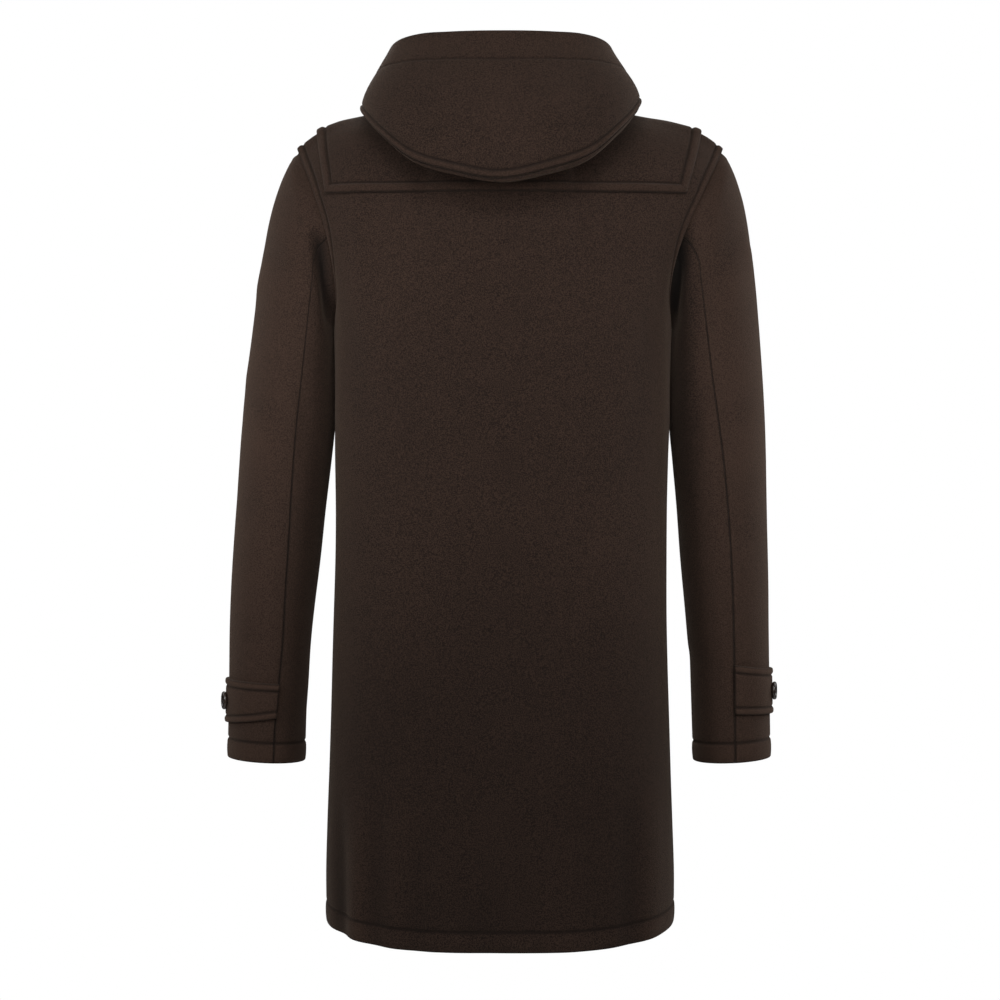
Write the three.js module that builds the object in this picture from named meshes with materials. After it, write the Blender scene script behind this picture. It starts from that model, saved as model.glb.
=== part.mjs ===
import * as THREE from 'three'

// A duffle coat as it stands when worn, hollow and without a wearer. Millimetres.
// Up is +Z, the front looks along -Y and the wearer's left is +X.
// The origin is the middle of the neck opening, level with the side neck points.

const WALL = 3 // wool cloth
const SEAM_GAP = 0.4 // air between two pieces along a seam
const LAY_GAP = 0.3 // air under a piece that lies on another
const LAP_DROP = WALL + 0.4 // how far the right front lies under the left one
const SECTION_POWER = 2.5 // squareness of a level section of the body
const HEM_HEIGHT = -893
const HEM_SAG = { back: 16, front: 9 } // the hem hangs this much lower away from the sides
const CHEST_HEIGHT = -235 // level of the underarms
const CHEST_HALF_WIDTH = 184
const LAP_REACH = 50 // each front crosses the middle by this much
const NECK_HALF_WIDTH = 78
const NECK_BACK = { y: 65, z: -15 }
const NECK_FRONT = { y: -88, z: -75 }
const YOKE_REACH = 210.5 // top end of the yoke's side edge
const YOKE_BACK_HEIGHT = -109
const YOKE_FRONT_HEIGHT = -125
const ROWS_BELOW_YOKE = 6
const ROWS_ABOVE_YOKE = 6
const RING_POINTS = 24 // round a sleeve
const BACK_SEAM_POINT = 8 // ring point on the sleeve's back seam
const UNDERARM_POINT = 12
const FRONT_SEAM_ANGLE = 118
const PATCH_THICKNESS = 2
const CORD_RADIUS = 1.8
const TOGGLE_X = -27
const TOGGLE_LEVELS = [-150, -285, -420, -555]
const BUTTON_RADIUS = 10
const BUTTON_THICKNESS = 4.2

// Level sections of the body, from the hem up to the underarms
const BODY_SECTIONS = [
  { z: -908, halfWidth: 190, front: 134, back: 126 },
  { z: -835, halfWidth: 191, front: 134, back: 126 },
  { z: -735, halfWidth: 187.5, front: 132, back: 125 },
  { z: -650, halfWidth: 185, front: 130, back: 123 },
  { z: -540, halfWidth: 182.4, front: 128, back: 120 },
  { z: -450, halfWidth: 182, front: 127, back: 118 },
  { z: -370, halfWidth: 183, front: 126, back: 118 },
  { z: -300, halfWidth: 183.4, front: 124, back: 119 },
  { z: -235, halfWidth: 184, front: 122, back: 120 },
]
const LOWER_LEVELS = [-880, -838, -785, -730, -672, -614, -556, -498, -440, -385, -332, -282]

// The shoulder line outside the neck, by distance from the middle
const RIDGE = [
  { x: 78, y: 0, z: 0 },
  { x: 100, y: 0.5, z: -4.5 },
  { x: 125, y: 1, z: -10 },
  { x: 158, y: 2.5, z: -17 },
  { x: 182, y: 4, z: -22 },
  { x: 210.5, y: 4.5, z: -32 },
  { x: 234, y: 5, z: -49 },
]

// Upright lines of the upper body. Each starts at foot on the chest section, ends at top on
// the neckline or the shoulder, and bends by a handle at the start and one at the end.
const BACK_COLUMNS = [
  { top: 0, foot: 0, riseX: 0, riseY: 2, riseZ: 100, endX: 0, endY: 45, endZ: -60 },
  { top: 39, foot: 39, riseX: 0, riseY: 2, riseZ: 100, endX: 0, endY: 50, endZ: -56 },
  { top: 67, foot: 67, riseX: 0, riseY: 3, riseZ: 98, endX: 0, endY: 67, endZ: -46 },
  { top: 78, foot: 80, riseX: 0, riseY: 3, riseZ: 97, endX: 0, endY: 91, endZ: -35 },
  { top: 100, foot: 102, riseX: 0, riseY: 4, riseZ: 96, endX: 0, endY: 89, endZ: -30 },
  { top: 125, foot: 125, riseX: 0, riseY: 6, riseZ: 95, endX: 0, endY: 86, endZ: -28 },
  { top: 158, foot: 148, riseX: -1, riseY: 13, riseZ: 90, endX: 0, endY: 83, endZ: -30 },
  { top: 182, foot: 165, riseX: -3, riseY: 22, riseZ: 82, endX: -2, endY: 77, endZ: -38 },
  { top: 210.5, foot: 178, riseX: -7, riseY: 38, riseZ: 68, endX: -9, endY: 69, endZ: -50 },
  { top: 234, foot: 184, riseX: -12, riseY: 76, riseZ: 60, endX: -25, endY: 66, endZ: -61 },
]
const FRONT_COLUMNS = [
  { top: 0, foot: 0, riseX: 0, riseY: 0, riseZ: 60, endX: 0, endY: -22, endZ: -50 },
  { top: 25, foot: 25, riseX: 0, riseY: 0, riseZ: 65, endX: 0, endY: -25, endZ: -50 },
  { top: 50, foot: 50, riseX: 0, riseY: 0, riseZ: 72, endX: 0, endY: -32, endZ: -50 },
  { top: 56, foot: 56, riseX: 0, riseY: 0, riseZ: 75, endX: 0, endY: -36, endZ: -49 },
  { top: 67, foot: 67, riseX: 0, riseY: 0, riseZ: 80, endX: 0, endY: -45, endZ: -48 },
  { top: 78, foot: 80, riseX: 0, riseY: 0, riseZ: 90, endX: 0, endY: -72, endZ: -38 },
  { top: 100, foot: 102, riseX: 0, riseY: -2, riseZ: 92, endX: 0, endY: -80, endZ: -34 },
  { top: 125, foot: 125, riseX: 0, riseY: -5, riseZ: 92, endX: 0, endY: -84, endZ: -32 },
  { top: 158, foot: 148, riseX: -1, riseY: -12, riseZ: 88, endX: 0, endY: -84, endZ: -34 },
  { top: 182, foot: 165, riseX: -3, riseY: -22, riseZ: 80, endX: -2, endY: -78, endZ: -40 },
  { top: 210.5, foot: 178, riseX: -7, riseY: -38, riseZ: 64, endX: -9, endY: -70, endZ: -52 },
  { top: 234, foot: 184, riseX: -12, riseY: -76, riseZ: 58, endX: -25, endY: -67, endZ: -62 },
]

// Rings of a sleeve below the armhole: the outermost and innermost point, the middle of
// the depth and half of it, and the angle of the back seam on each side.
const SLEEVE_RINGS = [
  { outX: 240, outZ: -60.5, inX: 185.6, inZ: -246, midY: -4, half: 58, left: 102, right: 103 },
  { outX: 250.5, outZ: -82, inX: 185.4, inZ: -262, midY: -8, half: 60, left: 105, right: 104.5 },
  { outX: 261, outZ: -115, inX: 185.1, inZ: -285, midY: -12, half: 61, left: 106, right: 104.5 },
  { outX: 270, outZ: -160, inX: 184.9, inZ: -315, midY: -16, half: 61, left: 105.5, right: 102.5 },
  { outX: 277.3, outZ: -214, inX: 185.3, inZ: -350, midY: -19, half: 61, left: 104.5, right: 99.5 },
  { outX: 284, outZ: -280, inX: 189.5, inZ: -392, midY: -22, half: 60, left: 105, right: 96 },
  { outX: 289.5, outZ: -350, inX: 194.5, inZ: -440, midY: -24, half: 59, left: 107, right: 92 },
  { outX: 294, outZ: -434, inX: 199.6, inZ: -497, midY: -26, half: 58, left: 110, right: 88.5 },
  { outX: 297.8, outZ: -515, inX: 205.6, inZ: -552, midY: -28, half: 57, left: 113, right: 88 },
  { outX: 299.5, outZ: -575, inX: 209.5, inZ: -592, midY: -30, half: 56, left: 114.5, right: 88.5 },
]
const CUFF_RING = { outX: 302, outZ: -719, inX: 217, inZ: -724, midY: -36, half: 55,
  left: 107, right: 92 }
// Rings at the top, middle and bottom of the cuff tab: outermost and innermost height
const TAB_HEIGHTS = {
  left: [[-631, -637], [-655.5, -653], [-680, -669]],
  right: [[-620, -608], [-645, -637], [-670, -666]],
}

// Sideways sway of the shoulders and the upper sleeves, as the coat hangs in the picture
const SWAY = { most: 10, level: -49, still: -480, least: -2, from: 150, to: 225 }

// The lying hood, by the angle round the neck from the back (0) to the throat (163):
// the outer edge and level of its fold, the edge of the face opening, the height of the
// roll round the neck, how far the crown swells and rises from the seam, and how far it
// leans out and drops from the face opening.
const HOOD = [
  { angle: 0, foldR: 150, foldZ: -105, rimR: 92, rimZ: 65, roll: 32,
    swell: 12, rise: 70, lean: 9, drop: 38 },
  { angle: 30, foldR: 160, foldZ: -88, rimR: 97, rimZ: 65.5, roll: 32,
    swell: 12, rise: 64, lean: 10, drop: 37 },
  { angle: 45, foldR: 166, foldZ: -60, rimR: 106, rimZ: 66.5, roll: 31,
    swell: 8, rise: 50, lean: 10, drop: 34 },
  { angle: 60, foldR: 165, foldZ: -31, rimR: 118, rimZ: 64.5, roll: 29,
    swell: 4, rise: 34, lean: 10, drop: 28 },
  { angle: 75, foldR: 156, foldZ: -15, rimR: 123, rimZ: 60, roll: 27,
    swell: 2, rise: 22, lean: 8, drop: 22 },
  { angle: 90, foldR: 150, foldZ: -9, rimR: 119, rimZ: 52, roll: 25,
    swell: 2, rise: 16, lean: 12, drop: 20 },
  { angle: 105, foldR: 141, foldZ: -18, rimR: 116, rimZ: 34, roll: 23,
    swell: 2, rise: 14, lean: 10, drop: 18 },
  { angle: 120, foldR: 131, foldZ: -38, rimR: 110, rimZ: 8, roll: 20,
    swell: 2, rise: 12, lean: 8, drop: 16 },
  { angle: 135, foldR: 123, foldZ: -62, rimR: 105, rimZ: -20, roll: 17,
    swell: 2, rise: 11, lean: 6, drop: 13 },
  { angle: 150, foldR: 119, foldZ: -80, rimR: 105, rimZ: -44, roll: 14,
    swell: 2, rise: 9, lean: 4, drop: 10 },
  { angle: 165, foldR: 116, foldZ: -91, rimR: 107, rimZ: -60, roll: 11,
    swell: 2, rise: 8, lean: 3, drop: 8 },
]
const HOOD_SEAM_RISE = { left: 2, middle: 5, right: 10 }

const radians = (degrees) => (degrees * Math.PI) / 180
const add = (a, b, k = 1) => [a[0] + b[0] * k, a[1] + b[1] * k, a[2] + b[2] * k]
const mix = (a, b, t) => a.map((value, i) => value + (b[i] - value) * t)
const dot = (a, b) => a[0] * b[0] + a[1] * b[1] + a[2] * b[2]
const cross = (a, b) => [
  a[1] * b[2] - a[2] * b[1],
  a[2] * b[0] - a[0] * b[2],
  a[0] * b[1] - a[1] * b[0],
]
const unit = (a) => {
  const length = Math.hypot(...a) || 1
  return a.map((value) => value / length)
}
const ease = (t) => {
  const u = Math.min(1, Math.max(0, t))
  return u * u * (3 - 2 * u)
}
const bezier = (a, b, c, d, t) => {
  const s = 1 - t
  return a.map((_, i) =>
    s * s * s * a[i] + 3 * s * s * t * b[i] + 3 * s * t * t * c[i] + t * t * t * d[i])
}

// Value of a column at a key, on a smooth curve through the rows of a rising table
function along(table, key, column, at) {
  const last = table.length - 1
  let i = 0
  while (i < last - 1 && at > table[i + 1][key]) {
    i += 1
  }
  const slope = (k) => {
    const before = table[Math.max(0, k - 1)]
    const after = table[Math.min(last, k + 1)]
    return (after[column] - before[column]) / (after[key] - before[key])
  }
  const span = table[i + 1][key] - table[i][key]
  const t = Math.min(1, Math.max(0, (at - table[i][key]) / span))
  const from = table[i][column]
  const to = table[i + 1][column]
  const bend = (1 - t) * slope(i) - t * slope(i + 1) - ((1 - 2 * t) * (to - from)) / span
  return from + (to - from) * t + t * (1 - t) * span * bend
}

// Moves a point sideways by the sway of its place
function swayed([x, y, z]) {
  const share = (z - SWAY.still) / (SWAY.level - SWAY.still)
  const amount = Math.min(SWAY.most, Math.max(SWAY.least, SWAY.most * share))
  const reach = ease((Math.abs(x) - SWAY.from) / (SWAY.to - SWAY.from))
  return [x - amount * reach, y, z]
}

// Open surface of four-cornered faces, whose corners run anticlockwise from outside
class Sheet {
  constructor() {
    this.points = []
    this.faces = []
    this.places = new Map()
  }

  corner(point) {
    const key = point.map((value) => value.toFixed(3)).join(' ')
    if (!this.places.has(key)) {
      this.places.set(key, this.points.length)
      this.points.push(point)
    }
    return this.places.get(key)
  }

  // Adds rows of points; the row direction crossed with the next row points outside
  grid(rows, name) {
    for (let j = 0; j + 1 < rows.length; j += 1) {
      for (let i = 0; i + 1 < rows[j].length; i += 1) {
        const around = [rows[j][i], rows[j][i + 1], rows[j + 1][i + 1], rows[j + 1][i]]
        this.faces.push({ name, row: j, column: i, corners: around.map((p) => this.corner(p)) })
      }
    }
    return this
  }

  normals() {
    const sums = this.points.map(() => [0, 0, 0])
    for (const { corners } of this.faces) {
      const [a, b, c, d] = corners.map((k) => this.points[k])
      const across = cross(add(c, a, -1), add(d, b, -1))
      corners.forEach((k) => {
        sums[k] = add(sums[k], across)
      })
    }
    return sums.map(unit)
  }
}

// Gives the picked faces of a sheet a wall, with the edges drawn in by half a seam's gap
function cutPiece(sheet, normals, picked, { lift = () => 0, wall = WALL, shape } = {}) {
  const faces = sheet.faces.filter(picked)
  const edges = new Map()
  for (const { corners } of faces) {
    corners.forEach((a, i) => {
      const b = corners[(i + 1) % corners.length]
      if (edges.has(`${b} ${a}`)) {
        edges.delete(`${b} ${a}`)
      } else {
        edges.set(`${a} ${b}`, [a, b])
      }
    })
  }
  const inward = new Map()
  for (const [a, b] of edges.values()) {
    for (const k of [a, b]) {
      const side = unit(cross(normals[k], add(sheet.points[b], sheet.points[a], -1)))
      inward.set(k, [...(inward.get(k) || []), side])
    }
  }
  const outer = []
  const inner = []
  const places = new Map()
  const place = (k) => {
    if (!places.has(k)) {
      let point = shape ? shape(sheet.points[k], k) : sheet.points[k]
      const sides = inward.get(k) || []
      if (sides.length) {
        const middle = unit(sides.reduce((sum, side) => add(sum, side), [0, 0, 0]))
        const reach = Math.max(0.4, dot(middle, sides[0]))
        point = add(point, middle, SEAM_GAP / 2 / reach)
      }
      places.set(k, outer.length)
      outer.push(add(point, normals[k], lift(sheet.points[k], k)))
      inner.push(add(outer[outer.length - 1], normals[k], -wall))
    }
    return places.get(k)
  }
  const triangles = []
  for (const { corners } of faces) {
    const [a, b, c, d] = corners.map(place)
    triangles.push([a, b, c], [a, c, d])
  }
  const count = outer.length
  const all = [...triangles, ...triangles.map(([a, b, c]) => [a + count, c + count, b + count])]
  // The rims of two neighbours are split along the same diagonal
  for (const [a, b] of edges.values()) {
    const [from, to] = [place(a), place(b)]
    if (a < b) {
      all.push([to, from, from + count], [to, from + count, to + count])
    } else {
      all.push([to, from, to + count], [from, from + count, to + count])
    }
  }
  return { points: [...outer, ...inner], triangles: all, outside: triangles }
}

const group = new THREE.Group()

function addMesh(name, { points, triangles }, look) {
  const geometry = new THREE.BufferGeometry()
  geometry.setAttribute('position', new THREE.Float32BufferAttribute(points.flat(), 3))
  geometry.setIndex(triangles.flat())
  geometry.computeVertexNormals()
  const mesh = new THREE.Mesh(geometry, new THREE.MeshStandardMaterial(look))
  mesh.name = name
  group.add(mesh)
}

const WOOL = { color: 0x30261f, roughness: 0.95, metalness: 0 }
const LEATHER = { color: 0x2a1c14, roughness: 0.55, metalness: 0 }
const CORD = { color: 0x241a13, roughness: 0.8, metalness: 0 }
const HORN = { color: 0x3a2a1c, roughness: 0.35, metalness: 0 }

// Body

function hemHeight(foot, face) {
  const sag = face > 0 ? HEM_SAG.back : HEM_SAG.front
  return HEM_HEIGHT - sag * (1 - (foot / CHEST_HALF_WIDTH) ** 4)
}

function sectionPoint(foot, face, z) {
  const half = along(BODY_SECTIONS, 'z', 'halfWidth', z)
  const depth = along(BODY_SECTIONS, 'z', face > 0 ? 'back' : 'front', z)
  const spread = (half - LAP_REACH) / (CHEST_HALF_WIDTH - LAP_REACH)
  const x = foot <= LAP_REACH ? foot : LAP_REACH + (foot - LAP_REACH) * spread
  const y = depth * (1 - (x / half) ** SECTION_POWER) ** (1 / SECTION_POWER)
  return [x, foot === CHEST_HALF_WIDTH ? 0 : face * y, z]
}

function columnTop(top, face) {
  if (top >= NECK_HALF_WIDTH) {
    return [top, along(RIDGE, 'x', 'y', top), along(RIDGE, 'x', 'z', top)]
  }
  const turn = Math.cos(Math.asin(top / NECK_HALF_WIDTH))
  return face > 0
    ? [top, NECK_BACK.y * turn, NECK_BACK.z * turn]
    : [top, NECK_FRONT.y * turn, NECK_FRONT.z * turn ** 1.2]
}

const yokeHeight = (top, face) =>
  face > 0 ? YOKE_BACK_HEIGHT + 4 * (top / YOKE_REACH) ** 2 : YOKE_FRONT_HEIGHT

// Points of one upright line of the body from the hem to the top
function bodyColumn(column, face) {
  const start = sectionPoint(column.foot, face, CHEST_HEIGHT)
  const end = columnTop(column.top, face)
  const rise = add(start, [column.riseX, column.riseY, column.riseZ])
  const near = add(end, [column.endX, column.endY, column.endZ])
  const upper = (t) => bezier(start, rise, near, end, t)
  let low = 0
  let high = 1
  for (let k = 0; k < 40; k += 1) {
    const middle = (low + high) / 2
    if (upper(middle)[2] < yokeHeight(column.top, face)) {
      low = middle
    } else {
      high = middle
    }
  }
  const points = [sectionPoint(column.foot, face, hemHeight(column.foot, face))]
  LOWER_LEVELS.forEach((z) => points.push(sectionPoint(column.foot, face, z)))
  for (let k = 0; k <= ROWS_BELOW_YOKE; k += 1) {
    points.push(upper((low * k) / ROWS_BELOW_YOKE))
  }
  for (let k = 1; k <= ROWS_ABOVE_YOKE; k += 1) {
    points.push(upper(low + ((1 - low) * k) / ROWS_ABOVE_YOKE))
  }
  return points
}

const mirrored = (points) => points.map(([x, y, z]) => [-x, y, z])
const turned = (columns) => columns[0].map((_, j) => columns.map((points) => points[j]))

function bodyRows(columns, face) {
  const half = columns.map((column) => bodyColumn(column, face))
  const whole = [...half.slice(1).reverse().map(mirrored), ...half]
  const ordered = face > 0 ? whole.reverse() : whole
  return turned(ordered).map((row) => row.map(swayed))
}

const body = new Sheet()
const frontRows = bodyRows(FRONT_COLUMNS, -1)
const backRows = bodyRows(BACK_COLUMNS, 1)
body.grid(frontRows, 'front').grid(backRows, 'back')
const bodyNormals = body.normals()

const middleColumn = FRONT_COLUMNS.length - 1
const lapColumn = FRONT_COLUMNS.findIndex(({ top }) => top === LAP_REACH)
const yokeRow = LOWER_LEVELS.length + 1 + ROWS_BELOW_YOKE
const isLeftFront = ({ name, column }) =>
  name === 'front' && column >= middleColumn - lapColumn
const isRightFront = ({ name, column }) =>
  name === 'front' && column < middleColumn + lapColumn
const underLap = ([x]) => (x > -LAP_REACH - 1 ? -LAP_DROP : 0)

const back = cutPiece(body, bodyNormals, ({ name }) => name === 'back')
const frontLeft = cutPiece(body, bodyNormals, isLeftFront)
const frontRight = cutPiece(body, bodyNormals, isRightFront, { lift: underLap })
addMesh('back', back, WOOL)
addMesh('front_left', frontLeft, WOOL)
addMesh('front_right', frontRight, WOOL)

// The yoke lies on the shoulders and stops one column before each armhole
const isYoke = ({ name, row, column }) => {
  const last = (name === 'front' ? FRONT_COLUMNS : BACK_COLUMNS).length * 2 - 3
  const inside = row >= yokeRow && column >= 1 && column <= last - 1
  const open = middleColumn - lapColumn - 1
  return inside && !(name === 'front' && column === open)
}
const yoke = cutPiece(body, bodyNormals, isYoke, { lift: () => LAY_GAP + WALL })
addMesh('yoke', yoke, WOOL)

// Sleeves

// Armhole edge from the shoulder down the back to the underarm and up the front
function armholeLoop(side) {
  const backEdge = backRows.map((row) => (side > 0 ? row[0] : row[row.length - 1]))
  const frontEdge = frontRows.map((row) => (side > 0 ? row[row.length - 1] : row[0]))
  const chestRow = LOWER_LEVELS.length + 1
  return [...backEdge.slice(chestRow).reverse(), ...frontEdge.slice(chestRow + 1, -1)]
}

function ringAngle(point, seam) {
  const frontSeam = 360 - FRONT_SEAM_ANGLE
  const frontPoint = RING_POINTS - BACK_SEAM_POINT
  if (point <= BACK_SEAM_POINT) {
    return (seam * point) / BACK_SEAM_POINT
  }
  if (point <= UNDERARM_POINT) {
    const share = (point - BACK_SEAM_POINT) / (UNDERARM_POINT - BACK_SEAM_POINT)
    return seam + (180 - seam) * share
  }
  if (point <= frontPoint) {
    const share = (point - UNDERARM_POINT) / (frontPoint - UNDERARM_POINT)
    return 180 + (frontSeam - 180) * share
  }
  return frontSeam + ((360 - frontSeam) * (point - frontPoint)) / BACK_SEAM_POINT
}

function sleeveRing(ring, side) {
  const seam = side > 0 ? ring.left : ring.right
  return Array.from({ length: RING_POINTS }, (_, m) => {
    const angle = radians(ringAngle(m, seam))
    const share = (1 + Math.cos(angle)) / 2
    const x = ring.inX + (ring.outX - ring.inX) * share
    const z = ring.inZ + (ring.outZ - ring.inZ) * share
    return swayed([side * x, ring.midY + ring.half * Math.sin(angle), z])
  })
}

function tabRings(side) {
  const from = SLEEVE_RINGS[SLEEVE_RINGS.length - 1]
  return TAB_HEIGHTS[side > 0 ? 'left' : 'right'].map(([outZ, inZ]) => {
    const share = (outZ - from.outZ) / (CUFF_RING.outZ - from.outZ)
    const keys = Object.keys(from)
    const ring = keys.map((k) => [k, from[k] + (CUFF_RING[k] - from[k]) * share])
    return { ...Object.fromEntries(ring), outZ, inZ }
  })
}

const TAB_ROW = SLEEVE_RINGS.length + 1
const TAB_TIP_POINTS = 1

function buildSleeve(side, word) {
  const rings = [...SLEEVE_RINGS, ...tabRings(side), CUFF_RING].map((r) => sleeveRing(r, side))
  const loop = armholeLoop(side)
  const start = loop.map((point, m) => {
    const away = unit(add(rings[0][m], point, -1))
    return add(add(point, away, SEAM_GAP), [side * 0.7, 0, 0])
  })
  const closed = [start, ...rings].map((ring) => [...ring, ring[0]])
  const rows = side > 0 ? closed.slice().reverse() : closed
  const sleeve = new Sheet()
  sleeve.grid(rows, 'sleeve')
  const normals = sleeve.normals()
  // The edge at the armhole is cut square to the body's cloth where the two run on smoothly
  start.forEach((point, m) => {
    const own = sleeve.corner(point)
    const edge = bodyNormals[body.corner(loop[m])]
    const share = ease((dot(normals[own], edge) - 0.1) / 0.5)
    normals[own] = unit(mix(normals[own], edge, share))
  })
  const isTop = ({ column }) =>
    column < BACK_SEAM_POINT || column >= RING_POINTS - BACK_SEAM_POINT
  addMesh(`sleeve_top_${word}`, cutPiece(sleeve, normals, isTop), WOOL)
  addMesh(`sleeve_under_${word}`, cutPiece(sleeve, normals, (face) => !isTop(face)), WOOL)

  // Cuff tab from the back seam round the outside, with its free end rounded
  const rowOf = ({ row }) => (side > 0 ? closed.length - 2 - row : row)
  const isTab = (face) => {
    const around = face.column < BACK_SEAM_POINT || face.column >= RING_POINTS - TAB_TIP_POINTS
    return around && rowOf(face) >= TAB_ROW && rowOf(face) < TAB_ROW + 2
  }
  const tip = RING_POINTS - TAB_TIP_POINTS
  const [above, middle, below] = [0, 1, 2].map((k) => closed[TAB_ROW + k][tip])
  const shape = (point) => {
    const isCorner = [above, below].some((end) => Math.hypot(...add(point, end, -1)) < 0.01)
    return isCorner ? mix(point, middle, 0.45) : point
  }
  const lift = () => LAY_GAP + WALL
  const tab = cutPiece(sleeve, normals, isTab, { lift, shape })
  addMesh(`cuff_tab_${word}`, tab, WOOL)
  return { normals, sleeve, closed }
}

// A round body turned about an axis that starts at base and runs along axis
function turnedBody(profile, sides, base, axis) {
  const points = []
  const triangles = []
  const along3 = unit(axis)
  const helper = Math.abs(along3[2]) < 0.9 ? [0, 0, 1] : [1, 0, 0]
  const first = unit(cross(helper, along3))
  const second = cross(along3, first)
  const ringOf = ([radius, height]) => {
    const start = points.length
    if (radius === 0) {
      points.push(add(base, along3, height))
      return [start]
    }
    for (let k = 0; k < sides; k += 1) {
      const angle = (2 * Math.PI * k) / sides
      const out = add(first.map((v) => v * Math.cos(angle)), second, Math.sin(angle))
      points.push(add(add(base, along3, height), out, radius))
    }
    return points.slice(start).map((_, k) => start + k)
  }
  const rings = profile.map(ringOf)
  for (let j = 0; j + 1 < rings.length; j += 1) {
    const [low, high] = [rings[j], rings[j + 1]]
    for (let k = 0; k < sides; k += 1) {
      const next = (k + 1) % sides
      if (low.length > 1) {
        triangles.push([low[k], low[next], high[high.length > 1 ? next : 0]])
      }
      if (high.length > 1) {
        triangles.push([low.length > 1 ? low[k] : low[0], high[next], high[k]])
      }
    }
  }
  return { points, triangles }
}

const BUTTON_PROFILE = [
  [0, 0],
  [BUTTON_RADIUS - 2, 0],
  [BUTTON_RADIUS, 1.5],
  [BUTTON_RADIUS - 0.4, 3.4],
  [BUTTON_RADIUS - 1.6, BUTTON_THICKNESS],
  [BUTTON_RADIUS - 3.4, BUTTON_THICKNESS - 0.4],
  [BUTTON_RADIUS - 4.4, BUTTON_THICKNESS - 1.4],
  [0, BUTTON_THICKNESS - 1.4],
]

// Button on the tab, between the second and third ring points from the sleeve's outside
function buildButton({ sleeve, normals, closed }, word) {
  const ends = [1, 2].map((m) => closed[TAB_ROW + 1][m])
  const out = unit(ends.reduce((sum, p) => add(sum, normals[sleeve.corner(p)]), [0, 0, 0]))
  const middle = mix(ends[0], ends[1], 0.5)
  const base = add(middle, out, 2 * (LAY_GAP + WALL) - WALL + 0.3)
  addMesh(`cuff_button_${word}`, turnedBody(BUTTON_PROFILE, 16, base, out), HORN)
}

const leftSleeve = buildSleeve(1, 'left')
const rightSleeve = buildSleeve(-1, 'right')
buildButton(leftSleeve, 'left')
buildButton(rightSleeve, 'right')

// Hood

// Lower edge of the hood, inside the neck edge of the body; halfway points are put between
function hoodStart() {
  const top = frontRows.length - 1
  const neckPoint = (rows, index) => {
    const point = rows[top][index]
    const depth = Math.abs(point[0]) < LAP_REACH + 1 && point[1] < 0 ? WALL + LAP_DROP : WALL
    const inner = add(point, bodyNormals[body.corner(point)], -depth)
    return add(inner, unit([-point[0], -point[1], 0]), SEAM_GAP + 0.45)
  }
  const within = (columns) => columns.filter(({ top: x }) => x <= NECK_HALF_WIDTH).length - 1
  const frontReach = within(FRONT_COLUMNS)
  const backReach = within(BACK_COLUMNS)
  const backMiddle = BACK_COLUMNS.length - 1
  const ring = []
  for (let k = 1; k <= frontReach; k += 1) {
    ring.push(neckPoint(frontRows, middleColumn + k))
  }
  for (let k = -backReach + 1; k < backReach; k += 1) {
    ring.push(neckPoint(backRows, backMiddle + k))
  }
  for (let k = frontReach; k >= 1; k -= 1) {
    ring.push(neckPoint(frontRows, middleColumn - k))
  }
  return ring.flatMap((point, k) =>
    k + 1 < ring.length ? [point, mix(point, ring[k + 1], 0.5)] : [point])
}

const HOOD_SEAM_ROW = 7

// Section of the hood from the neck edge round the fold to the edge of the face opening
function hoodSection(start) {
  const angle = Math.atan2(start[0], start[1])
  const turn = Math.abs((angle * 180) / Math.PI)
  const value = (column) => along(HOOD, 'angle', column, turn)
  const out = [Math.sin(angle), Math.cos(angle)]
  const at = (r, z) => [out[0] * r, out[1] * r, z]
  const neck = Math.hypot(start[0], start[1])
  const [foldR, foldZ] = [value('foldR'), value('foldZ')]
  const side = Math.sin(angle)
  const rise = HOOD_SEAM_RISE.middle
    + (side > 0 ? HOOD_SEAM_RISE.left - HOOD_SEAM_RISE.middle : 0) * Math.abs(side)
    + (side < 0 ? HOOD_SEAM_RISE.right - HOOD_SEAM_RISE.middle : 0) * Math.abs(side)
  const room = Math.min(1, (foldR - neck) / 60)
  const under = at(foldR - 16 * room, foldZ + 10 * room)
  const roll = at(neck + 4, start[2] + value('roll'))
  const drape = at(foldR - 40 * room, foldZ + 42 * room)
  const seam = at(foldR, foldZ + rise)
  const edge = at(value('rimR'), value('rimZ'))
  const swell = at(foldR + value('swell') * room, foldZ + rise + value('rise'))
  const lean = at(value('rimR') + value('lean'), value('rimZ') - value('drop') * room)
  const points = [0, 0.2, 0.4, 0.6, 0.8].map((t) => bezier(start, roll, drape, under, t))
  points.push(under, at(foldR - 7 * room, foldZ))
  const crown = [0, 0.17, 0.34, 0.51, 0.68, 0.84, 1]
  return [...points, ...crown.map((t) => bezier(seam, swell, lean, edge, t))]
}

const hood = new Sheet()
hood.grid(turned(hoodStart().map(hoodSection)), 'hood')
const hoodNormals = hood.normals()
const isCrown = ({ row }) => row >= HOOD_SEAM_ROW
addMesh('hood_crown', cutPiece(hood, hoodNormals, isCrown), WOOL)
addMesh('hood_under', cutPiece(hood, hoodNormals, (face) => !isCrown(face)), WOOL)

// Front closure

// Outward distance (-Y) of the outermost of some pieces over a place on the front
function frontDepth(pieces, x, z) {
  let depth = Infinity
  for (const { points, outside } of pieces) {
    for (const triangle of outside) {
      const [a, b, c] = triangle.map((k) => points[k])
      const area = (b[0] - a[0]) * (c[2] - a[2]) - (c[0] - a[0]) * (b[2] - a[2])
      const u = ((x - a[0]) * (c[2] - a[2]) - (c[0] - a[0]) * (z - a[2])) / area
      const v = ((b[0] - a[0]) * (z - a[2]) - (x - a[0]) * (b[2] - a[2])) / area
      if (u >= 0 && v >= 0 && u + v <= 1) {
        depth = Math.min(depth, a[1] + u * (b[1] - a[1]) + v * (c[1] - a[1]))
      }
    }
  }
  return depth
}

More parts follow.
